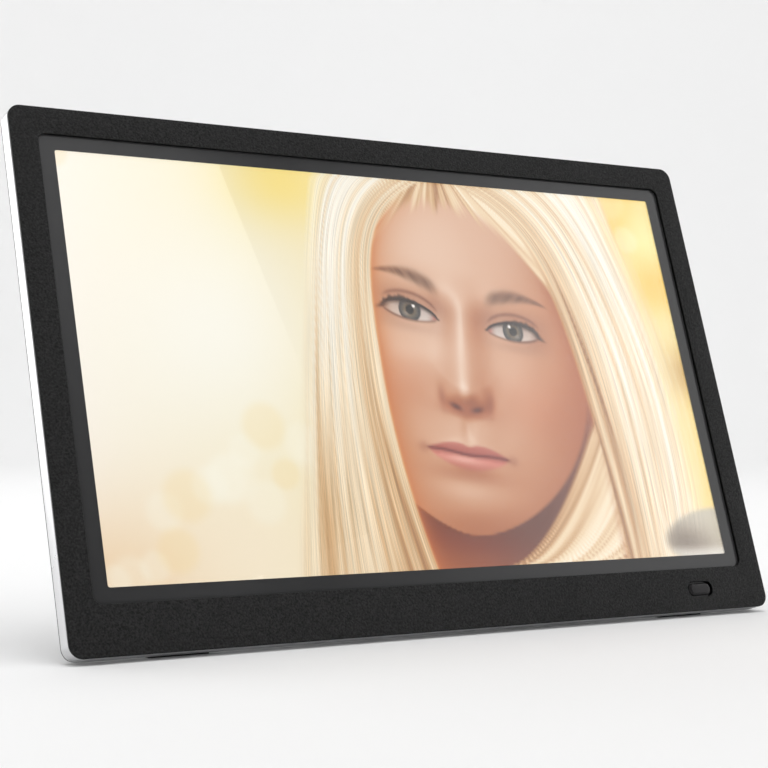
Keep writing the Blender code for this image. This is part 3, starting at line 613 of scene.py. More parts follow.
def stand_leg(look):
    """The leg's plate with rounded edges and a flared window, its two knuckles and its heels."""
    half, edge = 2.5, 1.0
    bore_r, knuckle_r, knuckle_end_r, knuckle_in, knuckle_out = 2.1, 4.2, 3.8, 18.6, 29.9
    height = FRONT_EDGE_HEIGHT - HINGE_Y * math.sin(LEAN) + HINGE_Z * math.cos(LEAN)
    end = 5.0 - height / math.cos(LEAN - OPEN)
    left_side = [(-30, -7), (-30, -20), (-38, end + 6), (-35, end)]
    points = left_side + [(-x, z) for x, z in reversed(left_side)]
    radii = (1, 60, 4, 4, 4, 4, 60, 1)
    rounding = list(fillet(edge, 5))
    layers = [(inward, -half + along) for inward, along in reversed(rounding)]
    layers += [(inward, half - along) for inward, along in rounding]
    plate = lofted([[(x, y, z) for x, z in polygon(points, radii, inset)] for inset, y in layers])
    flare = ((2.4, -3), (2.4, -half), (0.5, -1.8), (0, -1), (0, 1), (0.5, 1.8), (2.4, half), (2.4, 3))
    window = lofted([rounded(30 + grow, 62 + grow, 14.5 + grow / 2, y, 14, z=-82) for grow, y in flare])
    gap = lofted([rounded(2 * knuckle_in, 30, 1.5, y, 6, z=-4) for y in (-8, 8)])
    bore = turned(((bore_r, -45), (bore_r, 45)))
    sockets = [upright(1.6, x, (end - 1, end + 5)) for x in (-24, 24)]
    joined = []
    for side in (-1, 1):
        near, far = side * knuckle_in, side * knuckle_out
        blunt = side * 0.4
        joined.append(turned((
            (knuckle_end_r, near), (knuckle_r, near + blunt), (knuckle_r, far - blunt), (knuckle_end_r, far),
        )))
        joined.append(box(sorted((near, far)), (-half, half - 0.1), (-9, 4.8)))
    data = shaped("leg_plate", plate, cutters=[window, gap, bore, *sockets], joined=joined)
    hinge = PANEL @ Matrix.Translation(Vector((0, HINGE_Y, HINGE_Z)) * MM) @ Matrix.Rotation(OPEN, 4, "X")
    return finish_mesh(data, look, "stand", ["stand_leg"], matrix=hinge)


def button(index, look):
    """A pill cap with a soft domed top, its flange and its stem."""
    width, height, radius = 8.0, 5.5, 2.5
    flange, flange_back, flange_front = (10.4, 8.0, 3.0), -2.3, -3.1
    stem, stem_front = (3.0, 3.0, 1.4), -4.0
    dome = curve((1.8, 0.98), (0.15, 0.95), (0, 0.0), 7)
    sizes = [(width - 2 * inward, height - 2 * inward, radius - inward * 0.8, y) for inward, y in dome]
    sizes += [
        (width, height, radius, flange_back), (*flange, flange_back), (*flange, flange_front),
        (*stem, flange_front), (*stem, stem_front),
    ]
    sections = [rounded(w, h, r, HUMP_BACK + y, 8, button_x(index - 1), BUTTON_Z) for w, h, r, y in sizes]
    data = mesh_of(f"button_cap_{index}", lofted(sections))
    return finish_mesh(data, look, f"button_{index}", [f"button_{index}"])


# ---------------------------------------------------------------- CAD pieces that keep their shape

def shading_by_angle(degrees):
    """A node group that shades a faceted CAD piece smooth and keeps its edges sharp."""
    group = bpy.data.node_groups.new("shading_by_angle", "GeometryNodeTree")
    for way in ("INPUT", "OUTPUT"):
        group.interface.new_socket("Geometry", in_out=way, socket_type="NodeSocketGeometry")
    nodes = Nodes(group)
    mesh = nodes.add("NodeGroupInput").outputs[0]
    mesh = nodes.add("GeometryNodeMergeByDistance", {"Geometry": mesh, "Distance": 1e-6}).outputs[0]
    mesh = nodes.add("GeometryNodeSetShadeSmooth", {"Geometry": mesh}).outputs[0]
    angle = nodes.add("GeometryNodeInputMeshEdgeAngle").outputs["Unsigned Angle"]
    steep = nodes.add("FunctionNodeCompare", {"A": angle, "B": math.radians(degrees)}).outputs[0]
    inputs = {"Geometry": mesh, "Selection": steep, "Shade Smooth": False}
    mesh = nodes.add("GeometryNodeSetShadeSmooth", inputs, domain="EDGE").outputs[0]
    nodes.add("NodeGroupOutput", {0: mesh})
    return group


def finish_cad_nodes(looks):
    """Gives each CAD node the material of its slot, and smooth shading."""
    shading = shading_by_angle(35)
    for subpart in frame["record"]["subparts"]:
        node = frame["nodes"][subpart["node"]]
        look = looks.get(subpart["material_slot"])
        if look is None:
            continue
        node.data.materials.clear()
        node.data.materials.append(look)
        node.modifiers.new("shading", "NODES").node_group = shading


# ---------------------------------------------------------------- the picture on the screen

ASPECT = SCREEN_W / SCREEN_H
TILT = math.radians(9)
HEAD_X, HEAD_Y = 1.05, 0.475
EYE = 0.158
CONTRAST = 1.2


def smooth(value, start, end):
    """0 before start and 1 after end, with an even ramp between; start may be the larger."""
    part = np.clip((value - start) / (end - start), 0, 1)
    return part * part * (3 - 2 * part)


def spot(x, y, cx, cy, sx, sy, turn=0.0):
    """A soft round or oval spot, 1 at its middle."""
    c, s = math.cos(turn), math.sin(turn)
    dx, dy = x - cx, y - cy
    return np.exp(-0.5 * (((dx * c + dy * s) / sx) ** 2 + ((dy * c - dx * s) / sy) ** 2))


def ripple(a, b, seed):
    """Smooth noise from -1 to 1 on a square lattice, the same on each run."""
    table = np.random.default_rng(seed).uniform(-1, 1, (64, 64))
    i, j = np.floor(a).astype(int), np.floor(b).astype(int)
    f, g = smooth(a - i, 0, 1), smooth(b - j, 0, 1)
    upper = table[i % 64, j % 64] * (1 - f) + table[(i + 1) % 64, j % 64] * f
    lower = table[i % 64, (j + 1) % 64] * (1 - f) + table[(i + 1) % 64, (j + 1) % 64] * f
    return upper * (1 - g) + lower * g


def over(under, layer, cover):
    """Lays one picture over another as much as cover says."""
    cover = np.clip(cover, 0, 1)[..., None]
    return under * (1 - cover) + layer * cover


def paint(under, colour, cover):
    """Lays a colour (0 to 255, sRGB) over the picture as much as cover says."""
    return over(under, np.asarray(colour, float), cover)


def coats(picture, *rows):
    """Coats of paint over the picture, each a (colour, cover)."""
    for colour, cover in rows:
        picture = paint(picture, colour, cover)
    return picture


def dabs(picture, a, b, rows, cover=1.0):
    """Soft spots of paint on the picture, from rows of (colour, strength, place)."""
    for colour, strength, place in rows:
        picture = paint(picture, colour, strength * cover * spot(a, b, *place))
    return picture


def ramp(value, *stops):
    """A colour from a list of (value, colour) stops."""
    places = [place for place, _ in stops]
    return np.stack([np.interp(value, places, [c[k] for _, c in stops]) for k in range(3)], -1)


# ------------------------------------------------------------ blurred garden behind
def garden(x, y):
    """Sunlit leaves far out of focus: pale at the left, yellow at the right."""
    view = ramp(
        x, (0.0, (253, 247, 235)), (0.42, (250, 242, 214)), (0.75, (247, 232, 190)),
        (1.5, (249, 229, 158)), (1.78, (249, 226, 158)),
    )
    view = dabs(view, x, y, (
        ((254, 252, 244), 0.8, (0.35, 0.42, 0.22, 0.2)),
        ((242, 214, 178), 0.95, (0.02, 1.05, 0.2, 0.16)),
        ((251, 238, 216), 0.7, (0.38, 0.95, 0.18, 0.13)),
        ((252, 231, 150), 0.95, (0.60, 0.02, 0.11, 0.08)),
        ((248, 206, 92), 0.95, (1.66, 0.03, 0.06, 0.07)),
        ((253, 242, 176), 0.9, (1.75, 0.11, 0.05, 0.06)),
        ((248, 206, 96), 0.9, (1.74, 0.26, 0.05, 0.06)),
        ((246, 230, 172), 0.8, (1.76, 0.38, 0.06, 0.05)),
        ((214, 178, 112), 0.8, (1.78, 0.50, 0.05, 0.05)),
    ))
    for step in range(46):
        cx = 1.78 * ((step * 0.618) % 1)
        cy = (step * 0.381 + 0.07 * math.sin(step)) % 1
        size = 0.035 + 0.03 * ((step * 0.27) % 1)
        disc = smooth(np.hypot(x - cx, y - cy), size * 1.25, size * 0.7)
        colour, strength = ((255, 253, 240), 0.28) if step % 3 else ((247, 214, 140), 0.16)
        view = paint(view, colour, disc * strength)
    return view


# ------------------------------------------------------------ hair
def left_inner(y):
    fall = np.maximum(y, -0.025) + 0.025
    return ASPECT * (0.447 + 0.15 * np.exp(-fall / 0.10) + 0.14 * np.maximum(y - 0.5, 0) ** 2)


def left_outer(y):
    return ASPECT * (0.41 - 0.115 * np.maximum(y, 0) ** 0.64)


def right_inner(y):
    drop = np.maximum(y + 0.025, 0) / 0.13
    return ASPECT * (0.597 + 0.25 * (1 - 1 / (1 + drop)))


def right_outer(y):
    return ASPECT * (0.894 + 0.075 * np.sin(np.clip(y, -0.1, 1.1) * 2.2))


def strands(across, along, seed):
    """Broad waves, locks and fine hairs in the flow's own frame, from about -1 to 1."""
    bent = across + 0.05 * ripple(across * 3, along * 2, seed)
    broad = ripple(bent * 5, along * 0.9 + 9, seed + 1)
    locks = ripple(bent * 15, along * 1.5, seed + 2)
    fine = ripple(bent * 44, along * 2.2, seed + 3)
    return 0.42 * broad + 0.42 * locks + 0.34 * fine


def hair_colour(light):
    """Pale blond, from the shaded gaps to the bright crests."""
    return ramp(
        light, (-1.0, (176, 128, 84)), (-0.55, (214, 176, 132)), (-0.15, (236, 210, 174)),
        (0.25, (247, 231, 204)), (0.7, (254, 247, 232)), (1.2, (255, 253, 246)),
    )


def curtain(picture, x, y, inner, outer, seed, shade):
    """One side of the hair, hanging from the parting between its inner and outer edges.

    The flow that its fine hairs follow comes with it: across the lock, along it, and how much they show.
    """
    near, far = inner(y), outer(y)
    across = (x - near) / (far - near)
    fray = 0.06 * ripple(across * 30, y * 3, seed + 7) + 0.03 * ripple(across * 80, y * 5, seed + 8)
    cover = smooth(across, -0.012, 0.012) * smooth(across + fray, 1.22, 0.86)
    light = strands(across, y, seed) + shade(across, y)
    return over(picture, hair_colour(light), cover), np.stack([across + seed, y, cover], -1)


def hairline(picture, x, y):
    """Hair combed back from the forehead on both sides of the parting."""
    u = x / ASPECT
    line = 0.052 + 9 * np.maximum(u - 0.61, 0) ** 2 + 11 * np.maximum(0.56 - u, 0) ** 2
    fan = (x - 0.597 * ASPECT) / (y + 0.09)
    fray = 0.02 * ripple(fan * 16, y * 4, 31) + 0.012 * ripple(fan * 40, y * 6, 33)
    left, right = left_inner(y), right_inner(y)
    cover = smooth(y + fray, line + 0.028, line - 0.022)
    cover = cover * smooth(x, left - 0.02, left) * smooth(x, right + 0.02, right)
    parting = np.exp(-(((u - 0.597 + 0.05 * y) / 0.006) ** 2))
    light = strands(fan * 0.9, y * 2, 35) - 0.25 - 0.5 * parting
    return over(picture, hair_colour(light), cover)


def hair(picture, x, y):
    def left_shade(across, y):
        edge = -0.35 * np.exp(-across / 0.05)
        lit = 0.30 * smooth(across, 0.2, 0.9) - 0.32 * smooth(y, 0.35, 0.95)
        return edge + lit + 0.06

    def right_shade(across, y):
        edge = -0.75 * np.exp(-across / 0.07) * smooth(y, 0.1, 0.35)
        gap = np.exp(-(((across - 0.17 + 0.05 * np.sin(5 * y)) / 0.013) ** 2))
        gap = -1.1 * gap * spot(y, y, 0.45, 0.45, 0.2, 0.2)
        return edge + gap + 0.22 * smooth(across, 0.15, 0.6) - 0.12 * smooth(across, 0.8, 1.1) - 0.16

    picture, left = curtain(picture, x, y, left_inner, left_outer, 3, left_shade)
    picture, right = curtain(picture, x, y, right_inner, right_outer, 23, right_shade)
    return picture, np.where(left[..., 2:] > right[..., 2:], left, right)


def sweep(picture, x, y):
    """The lock that crosses in front of the neck, from the right curtain to the bottom edge."""
    edge = ASPECT * (0.60 + 0.19 * np.maximum((1.0 - y) / 0.33, 0) ** 0.62)
    across = (x - edge) / 0.30
    cover = smooth(across, -0.02, 0.03) * smooth(y, 0.60, 0.68) * smooth(x, ASPECT * 0.84, ASPECT * 0.80)
    light = strands(across + 0.5, (1 - y) * 1.5, 51) + 0.5 * smooth(across, 0.1, 0.9)
    light -= 0.45 + 0.5 * np.exp(-np.maximum(across, 0) / 0.12)
    return over(picture, hair_colour(light), cover)


# ------------------------------------------------------------ face
def face_frame(x, y):
    """Head coordinates in eye widths: p to the right, q down, from the middle of the face."""
    dx, dy = x - HEAD_X, y - HEAD_Y
    c, s = math.cos(TILT), math.sin(TILT)
    return (dx * c + dy * s) / EYE, (dy * c - dx * s) / EYE


EYE_Q, BROW_Q, NOSE_Q, MOUTH_Q, CHIN_Q = -0.62, -1.16, 0.86, 1.56, 2.86


def face_width(q):
    """Half the face's width at a height."""
    upper = 2.45 * np.sqrt(np.clip(1 - (np.minimum(q, 0) / 4.2) ** 2, 0, 1))
    lower = 2.45 * np.clip(1 - (np.maximum(q, 0) / CHIN_Q) ** 2.1, 0, 1) ** 0.62
    return np.where(q < 0, upper, lower)


def relief(p, q):
    """The face's height towards the viewer, in eye widths."""
    a = np.abs(p)
    z = 2.6 * np.sqrt(np.clip(1 - (p / 3.0) ** 2 - ((q + 0.1) / 3.9) ** 2, 0.02, 1))
    bridge = smooth(q, -1.35, 0.5)
    ridge = 0.13 + 0.25 * bridge
    width = 0.23 + 0.07 * bridge
    tip = q + 0.9 * p * p
    z += ridge * np.exp(-0.5 * (p / width) ** 2) * smooth(tip, 1.06, 0.48) * smooth(q, -1.6, -0.8)
    for height, *place in (
        (0.10, 0.85, BROW_Q + 0.02, 0.5, 0.2, -0.12),
        (-0.20, 0.95, EYE_Q + 0.02, 0.42, 0.27),
        (-0.09, 0.42, EYE_Q - 0.1, 0.17, 0.28),
        (0.15, 1.0, EYE_Q, 0.36, 0.2),
        (0.22, 1.35, 0.35, 0.62, 0.5, 0.3),
        (-0.035, 0.82, 0.95, 0.2, 0.5, 0.45),
        (0.11, 0, 0.56, 0.20, 0.19),
        (0.11, 0.35, 0.66, 0.12, 0.15),
        (-0.05, 0, 1.15, 0.08, 0.16),
        (0.12, 0, MOUTH_Q, 0.75, 0.36),
        (0.035, 0.2, MOUTH_Q - 0.1, 0.3, 0.075, 0.12),
        (0.05, 0, MOUTH_Q + 0.16, 0.34, 0.1),
        (-0.05, 0, MOUTH_Q + 0.48, 0.45, 0.13),
        (0.16, 0, CHIN_Q - 0.45, 0.55, 0.30),
    ):
        z += height * spot(a, q, *place)
    return z


def skin(p, q):
    """Skin lit from the upper left."""
    step = 0.01
    slope_p = (relief(p + step, q) - relief(p - step, q)) / (2 * step)
    slope_q = (relief(p, q + step) - relief(p, q - step)) / (2 * step)
    size = np.sqrt(1 + slope_p**2 + slope_q**2)
    key = (0.36 * slope_p + 0.30 * slope_q + 0.88) / size
    sky = (0.6 * slope_q + 0.8) / size
    front = 1 / size
    light = 0.46 * key + 0.16 * sky + 0.42 * front
    colour = ramp(
        light, (0.2, (140, 74, 38)), (0.45, (184, 118, 78)), (0.65, (206, 152, 118)),
        (0.82, (214, 168, 138)), (0.96, (225, 187, 161)), (1.05, (240, 214, 194)),
    )
    shine = np.clip(key, 0, 1) ** 26
    return paint(colour, (255, 246, 238), 0.22 * shine)


def eyeball(picture, a, b, inside):
    """The white and the iris inside the lids, and each point's distance from the pupil's middle."""
    white = ramp(b, (-0.18, (150, 134, 128)), (-0.06, (205, 194, 188)), (0.1, (222, 212, 206)))
    white = paint(white, (150, 118, 106), 0.55 * smooth(np.abs(a), 0.3, 0.52))
    picture = over(picture, white, inside)
    picture = dabs(picture, a, b, [((206, 140, 126), 1.0, (-0.49, 0.03, 0.05, 0.06))], inside)
    r = np.hypot(a, b + 0.045)
    turn = np.arctan2(b + 0.045, a)
    fibres = 0.5 + 0.5 * ripple(turn * 9 + 40, r * 9, 71)
    iris = ramp(
        r / 0.205 + 0.12 * fibres, (0.0, (52, 42, 34)), (0.4, (128, 112, 84)), (0.7, (108, 106, 98)),
        (0.92, (70, 74, 78)), (1.1, (34, 36, 40)),
    )
    return over(picture, iris, inside * smooth(r, 0.215, 0.195)), r


def lids(a):
    """The heights of the upper lid, the lower lid and the crease."""
    reach = np.clip(1 - (a / 0.52) ** 2, 0, 1)
    slant = -0.05 * a
    top = slant - 0.185 * reach**0.62 - 0.03 * a * reach
    low = slant + 0.115 * reach**0.8 + 0.02 * a * reach
    crease = slant - 0.335 * np.clip(1 - ((a - 0.02) / 0.60) ** 2, 0, 1) ** 0.55
    return top, low, crease


def lashes(picture, a, b, top, side):
    """Upper lashes, longer towards the outer corner."""
    lash = 0.026 + 0.030 * smooth(a, -0.4, 0.4)
    comb = 0.5 + 0.5 * ripple(a * 34 + b * 9, b * 0 + side, 77)
    length = lash * 1.1 + 0.075 * comb * smooth(a, -0.35, 0.35)
    line = smooth(b, top - length, top - 0.012) * smooth(b, top + 0.035, top + 0.008)
    picture = paint(picture, (38, 22, 18), 0.92 * line * smooth(np.abs(a), 0.58, 0.50))
    return dabs(picture, a, b, [((44, 26, 20), 0.75, (0.53, -0.02, 0.07, 0.022, 0.35))])


def eye(picture, p, q, side):
    """One eye with its socket, at side -1 or 1: a grows from its middle to its outer corner, b downwards."""
    a = side * p - 1.0
    b = q - EYE_Q
    picture = dabs(picture, a, b, (
        ((120, 66, 46), 0.30, (0.05, -0.20, 0.44, 0.13, -0.1)),
        ((110, 58, 42), 0.22, (0.42, 0.02, 0.22, 0.16)),
        ((150, 88, 62), 0.28, (-0.50, -0.10, 0.14, 0.2)),
        ((150, 96, 76), 0.20, (0.03, 0.24, 0.36, 0.07)),
    ))
    top, low, crease = lids(a)
    soft = 0.018
    inside = smooth(b, top - soft, top + soft) * smooth(b, low + soft, low - soft) * (np.abs(a) < 0.52)
    picture, r = eyeball(picture, a, b, inside)
    picture = coats(
        picture,
        ((14, 12, 12), inside * smooth(r, 0.088, 0.07)),
        ((40, 26, 22), 0.55 * inside * smooth(b - top, 0.09, 0.0)),
        ((255, 255, 255), 0.95 * inside * smooth(np.hypot(a + 0.07, b + 0.115), 0.036, 0.022)),
    )
    picture = dabs(picture, a, b, [((210, 214, 220), 0.35, (0.07, 0.03, 0.05, 0.03))], inside)
    picture = lashes(picture, a, b, top, side)
    under = np.exp(-0.5 * ((b - low - 0.012) / 0.016) ** 2) * smooth(np.abs(a), 0.54, 0.46)
    fold = np.exp(-0.5 * ((b - crease) / 0.022) ** 2) * smooth(np.abs(a), 0.56, 0.4)
    return coats(
        picture,
        ((84, 50, 40), 0.55 * under * (0.6 + 0.4 * smooth(a, -0.3, 0.4))),
        ((122, 72, 52), 0.55 * fold),
    )


def brow(picture, p, q, side):
    """One soft, gently arched brow made of short slanted hairs."""
    a = side * p - 1.02
    arch = BROW_Q - 0.17 * np.clip(1 - ((a - 0.22) / 0.75) ** 2, -0.6, 1) + 0.05
    b = q - arch
    thick = 0.070 * smooth(a, 0.80, -0.25) + 0.014
    body = np.exp(-0.5 * np.abs(b / thick) ** 2.4) * smooth(a, -0.64, -0.30) * smooth(a, 0.76, 0.52)
    hairs = 0.86 + 0.22 * ripple(a * 34 + b * 30, b * 7, 83)
    return paint(picture, (104, 66, 44), 0.82 * body * hairs)


def mouth(picture, p, q):
    """Closed, level lips."""
    a = np.abs(p)
    b = q - MOUTH_Q
    reach = np.clip(1 - (a / 0.80) ** 2, 0, 1)
    parting = 0.02 * np.cos(a * 5.2) * reach
    bow = 1 - 0.24 * np.exp(-((a / 0.11) ** 2))
    top = parting - 0.175 * reach**0.9 * bow + 0.05 * smooth(a, 0.25, 0.8) * reach
    low = parting + 0.245 * np.clip(1 - (a / 0.74) ** 2.3, 0, 1) ** 0.72
    soft = 0.028
    upper = smooth(b, top - soft, top + soft) * smooth(b, parting + 0.012, parting - 0.004)
    lower = smooth(b, low + soft * 1.3, low - soft) * smooth(b, parting - 0.012, parting + 0.004)
    lines = ripple(p * 26, b * 2.5, 91)
    rose_up = ramp(b, (-0.2, (208, 132, 118)), (0.0, (176, 92, 86)))
    rose_low = ramp(
        b + 0.012 * lines, (0.0, (186, 100, 94)), (0.10, (222, 146, 134)), (0.2, (204, 128, 114)),
        (0.28, (190, 116, 98)),
    )
    within = smooth(a, 0.80, 0.70)
    for rose, cover in ((rose_up, upper), (rose_low, lower)):
        picture = over(picture, rose, cover * within * 0.86)
    picture = dabs(picture, p, b, [((255, 226, 216), 0.42, (-0.12, 0.105, 0.22, 0.04))], lower)
    seam = np.exp(-0.5 * ((b - parting) / 0.017) ** 2) * smooth(a, 0.84, 0.70)
    picture = paint(picture, (112, 44, 40), 0.80 * seam)
    return dabs(picture, a, b, (
        ((150, 84, 62), 0.30, (0.84, 0.0, 0.07, 0.06)),
        ((176, 112, 84), 0.30, (0, 0.36, 0.42, 0.07)),
    ))


def nose(picture, p, q):
    """The shaded underside, the nostrils and wings, and the light along the ridge."""
    picture = dabs(picture, np.abs(p), q, (
        ((196, 124, 96), 0.45, (0, NOSE_Q - 0.03, 0.36, 0.075)),
        ((98, 44, 32), 0.85, (0.20, NOSE_Q - 0.045, 0.080, 0.034, -0.3)),
        ((158, 92, 68), 0.42, (0.46, 0.70, 0.045, 0.12, 0.15)),
        ((170, 106, 80), 0.30, (0.10, NOSE_Q + 0.055, 0.24, 0.035)),
    ))
    return dabs(picture, p, q, (
        ((255, 244, 234), 0.42, (-0.04, 0.50, 0.07, 0.09)),
        ((255, 242, 230), 0.28, (-0.05, -0.25, 0.05, 0.5)),
    ))


def portrait(x, y):
    """Neck, face and features, with warm light through the hair at both sides of the face."""
    p, q = face_frame(x, y)
    below = smooth(q, CHIN_Q - 0.6, CHIN_Q + 0.9)
    neck = ramp(below, (0.0, (106, 44, 16)), (0.5, (136, 62, 24)), (1.0, (172, 104, 62)))
    picture = paint(neck, (108, 54, 26), 0.6 * smooth(p, 0.0, 1.6))
    face = skin(p, q)
    face = paint(face, (224, 140, 108), 0.20 * spot(np.abs(p), q, 1.35, 0.55, 0.5, 0.4))
    face = nose(face, p, q)
    face = mouth(face, p, q)
    for side in (-1, 1):
        face = eye(face, p, q, side)
        face = brow(face, p, q, side)
    jaw = smooth(np.abs(p) - face_width(q), 0.05, -0.05) * smooth(q, CHIN_Q + 0.04, CHIN_Q - 0.04)
    picture = over(picture, face, jaw)
    left = np.maximum(x - left_inner(y), 0)
    right = np.maximum(right_inner(y) - x, 0)
    return coats(
        picture,
        ((214, 132, 74), 0.62 * np.exp(-left / 0.022) + 0.25 * np.exp(-left / 0.09)),
        ((172, 92, 42), 0.80 * np.exp(-right / 0.030) * smooth(y, 0.08, 0.3)),
        ((196, 116, 66), 0.50 * np.exp(-right / 0.12) * smooth(y, 0.1, 0.6)),
    )


def collar(picture, x, y):
    """A soft, out of focus grey fold in the lower right corner."""
    shape = smooth(spot(x, y, 1.76, 0.945, 0.145, 0.062, -0.1), 0.45, 0.62)
    return coats(
        picture,
        ((206, 198, 182), 0.95 * shape),
        ((132, 114, 98), 0.80 * shape * spot(x, y, 1.66, 0.965, 0.07, 0.035, 0.2)),
        ((240, 236, 228), 0.7 * shape * smooth(y, 0.965, 0.995)),
    )


def picture_colours(x, y):
    """The picture's colours and its hair's flow at points across (0 to ASPECT) and down (0 to 1)."""
    view = garden(x, y)
    left, right = left_inner(y), right_inner(y)
    inside = smooth(x, left - 0.01, left + 0.01) * smooth(x, right + 0.01, right - 0.01)
    view = over(view, portrait(x, y), inside)
    view = hairline(view, x, y)
    view = sweep(view, x, y)
    view, flow = hair(view, x, y)
    return collar(view, x, y), flow


def picture_material():
    """The lit picture: colours from the cell's own points, with fine hairs added along the flow."""
    look = Look("lit_picture", (0.02, 0.02, 0.02), 0.35)
    colour = look.add("ShaderNodeAttribute", attribute_name="picture").outputs["Color"]
    flow = look.add("ShaderNodeAttribute", attribute_name="flow")
    hairs = look.noise(1000, 2.0, stretch=(110, 3, 0), vector=flow.outputs["Vector"])
    strength = look.add("ShaderNodeSeparateXYZ", {"Vector": flow.outputs["Vector"]}).outputs["Z"]
    terms = {0: look.spread(hairs, -0.3, 0.22), 1: strength, 2: 1.0}
    light = look.add("ShaderNodeMath", terms, operation="MULTIPLY_ADD")
    return look.wire(Emission_Color=look.scaled(colour, light.outputs[0]), Emission_Strength=1.0)


def crowded(count, low, high, middle, spread, gain):
    """Lines from low to high that lie closer together around the middle."""
    fine = np.linspace(low, high, 4001)
    share = np.cumsum(1 + gain * np.exp(-(((fine - middle) / spread) ** 2)))
    share = (share - share[0]) / (share[-1] - share[0])
    return np.interp(np.linspace(0, 1, count), share, fine)


def linear(colour):
    """Linear light from sRGB values of 0 to 255."""
    value = np.clip(colour / 255, 0, 1)
    return np.where(value <= 0.04045, value / 12.92, ((value + 0.055) / 1.055) ** 2.4)


def rim_of(columns, rows):
    """The points round a grid's edge, in order, each by its place in the grid."""
    last_column, last_row = columns - 1, rows - 1
    rim = [i for i in range(last_column)]
    rim += [j * columns + last_column for j in range(last_row)]
    rim += [last_row * columns + i for i in range(last_column, 0, -1)]
    rim += [j * columns for j in range(last_row, 0, -1)]
    return rim


def lit_cell(look):
    """The liquid crystal cell as a closed slab, with the picture in its front face's points."""
    width, height, middle, front, back = 356.0, 206.0, 124.0, 3.8, 4.9
    columns, rows = 412, 236
    across = crowded(columns, -width / 2, width / 2, 32, 62, 1.6)
    up = crowded(rows, middle + height / 2, middle - height / 2, 138, 45, 1.2)
    x, z = (grid.ravel() for grid in np.meshgrid(across, up))
    face = np.column_stack([x, np.full(x.size, front), z])
    rim = rim_of(columns, rows)
    behind = face[rim] + (0, back - front, 0)
    j, i = np.meshgrid(np.arange(rows - 1), np.arange(columns - 1), indexing="ij")
    corner = (j * columns + i).ravel()
    quads = np.column_stack([corner, corner + columns, corner + columns + 1, corner + 1]).tolist()
    first, count = len(face), len(rim)
    for step in range(count):
        after = (step + 1) % count
        quads.append([rim[step], rim[after], first + after, first + step])
    quads.append([first + step for step in range(count)])
    data = bpy.data.meshes.new("lit_cell")
    data.from_pydata(np.vstack([face, behind]).tolist(), [], quads)
    cell = finish_mesh(data, look, "casing", ["lcd_cell"])
    colour, flow = picture_colours(0.5 * ASPECT + x / SCREEN_H, 0.5 - (z - SCREEN_Z) / SCREEN_H)
    colour = np.vstack([linear(colour) ** CONTRAST, np.full((count, 3), 0.01)])
    flow = np.vstack([flow, np.zeros((count, 3))])
    store = cell.data.color_attributes.new("picture", "FLOAT_COLOR", "POINT")
    store.data.foreach_set("color", np.column_stack([colour, np.ones(len(colour))]).ravel())
    store = cell.data.attributes.new("flow", "FLOAT_VECTOR", "POINT")
    store.data.foreach_set("vector", flow.ravel())
    return cell


# ---------------------------------------------------------------- studio

# The camera's lens in millimetres, its place in metres and its shift in widths of the view.
LENS, SENSOR = 85.0, 36.0
EYE_FROM_SCREEN = Vector((-0.4934, -0.6976, -0.0251))
PITCH, YAW = math.radians(2.96), math.radians(-33.04)
SHIFT_X, SHIFT_Y = 0.049, -0.076
SCREEN_MIDDLE = PANEL @ (Vector((0, 0, SCREEN_Z)) * MM)


def place_camera():
    """A long lens at the left and a little below the screen's middle, shifted to fill the view."""
    data = bpy.data.cameras.new("camera")
    data.lens = LENS
    data.sensor_width = SENSOR
    data.shift_x = SHIFT_X
    data.shift_y = SHIFT_Y
    camera = linked("camera", data)
    camera.location = SCREEN_MIDDLE + EYE_FROM_SCREEN
    camera.rotation_euler = (math.radians(90) + PITCH, 0, YAW)
    bpy.context.scene.camera = camera


def glow_material(name, radiance, fade):
    """An even glow, or one that is dimmed towards the lower end over the given share of the height."""
    material = bpy.data.materials.new(name)
    material.use_nodes = True
    material.node_tree.nodes.clear()
    nodes = Nodes(material.node_tree)
    strength = radiance
    if fade:
        place = nodes.add("ShaderNodeTexCoord").outputs["Object"]
        height = nodes.add("ShaderNodeSeparateXYZ", {0: place}).outputs["Y"]
        inputs = {"Value": height, "From Min": -0.5, "From Max": fade - 0.5, "To Max": radiance}
        strength = nodes.add("ShaderNodeMapRange", inputs, interpolation_type="SMOOTHSTEP").outputs[0]
    glow = nodes.add("ShaderNodeEmission", {"Strength": strength})
    nodes.add("ShaderNodeOutputMaterial", {"Surface": glow.outputs[0]})
    return material


def panel_light(name, centre, right, up, size, radiance, fade=0.0):
    """A flat softbox in metres, with its sides along right and up; fade dims it towards its lower end."""
    bm = bmesh.new()
    bmesh.ops.create_grid(bm, x_segments=1, y_segments=1, size=0.5)
    data = bpy.data.meshes.new(name)
    bm.to_mesh(data)
    bm.free()
    data.materials.append(glow_material(name, radiance, fade))
    light = linked(name, data)
    turn = Matrix((right, up, right.cross(up))).transposed().to_4x4()
    light.matrix_world = Matrix.Translation(centre) @ turn @ Matrix.Diagonal((*size, 1, 1))
    light.visible_camera = False
    light.visible_shadow = False


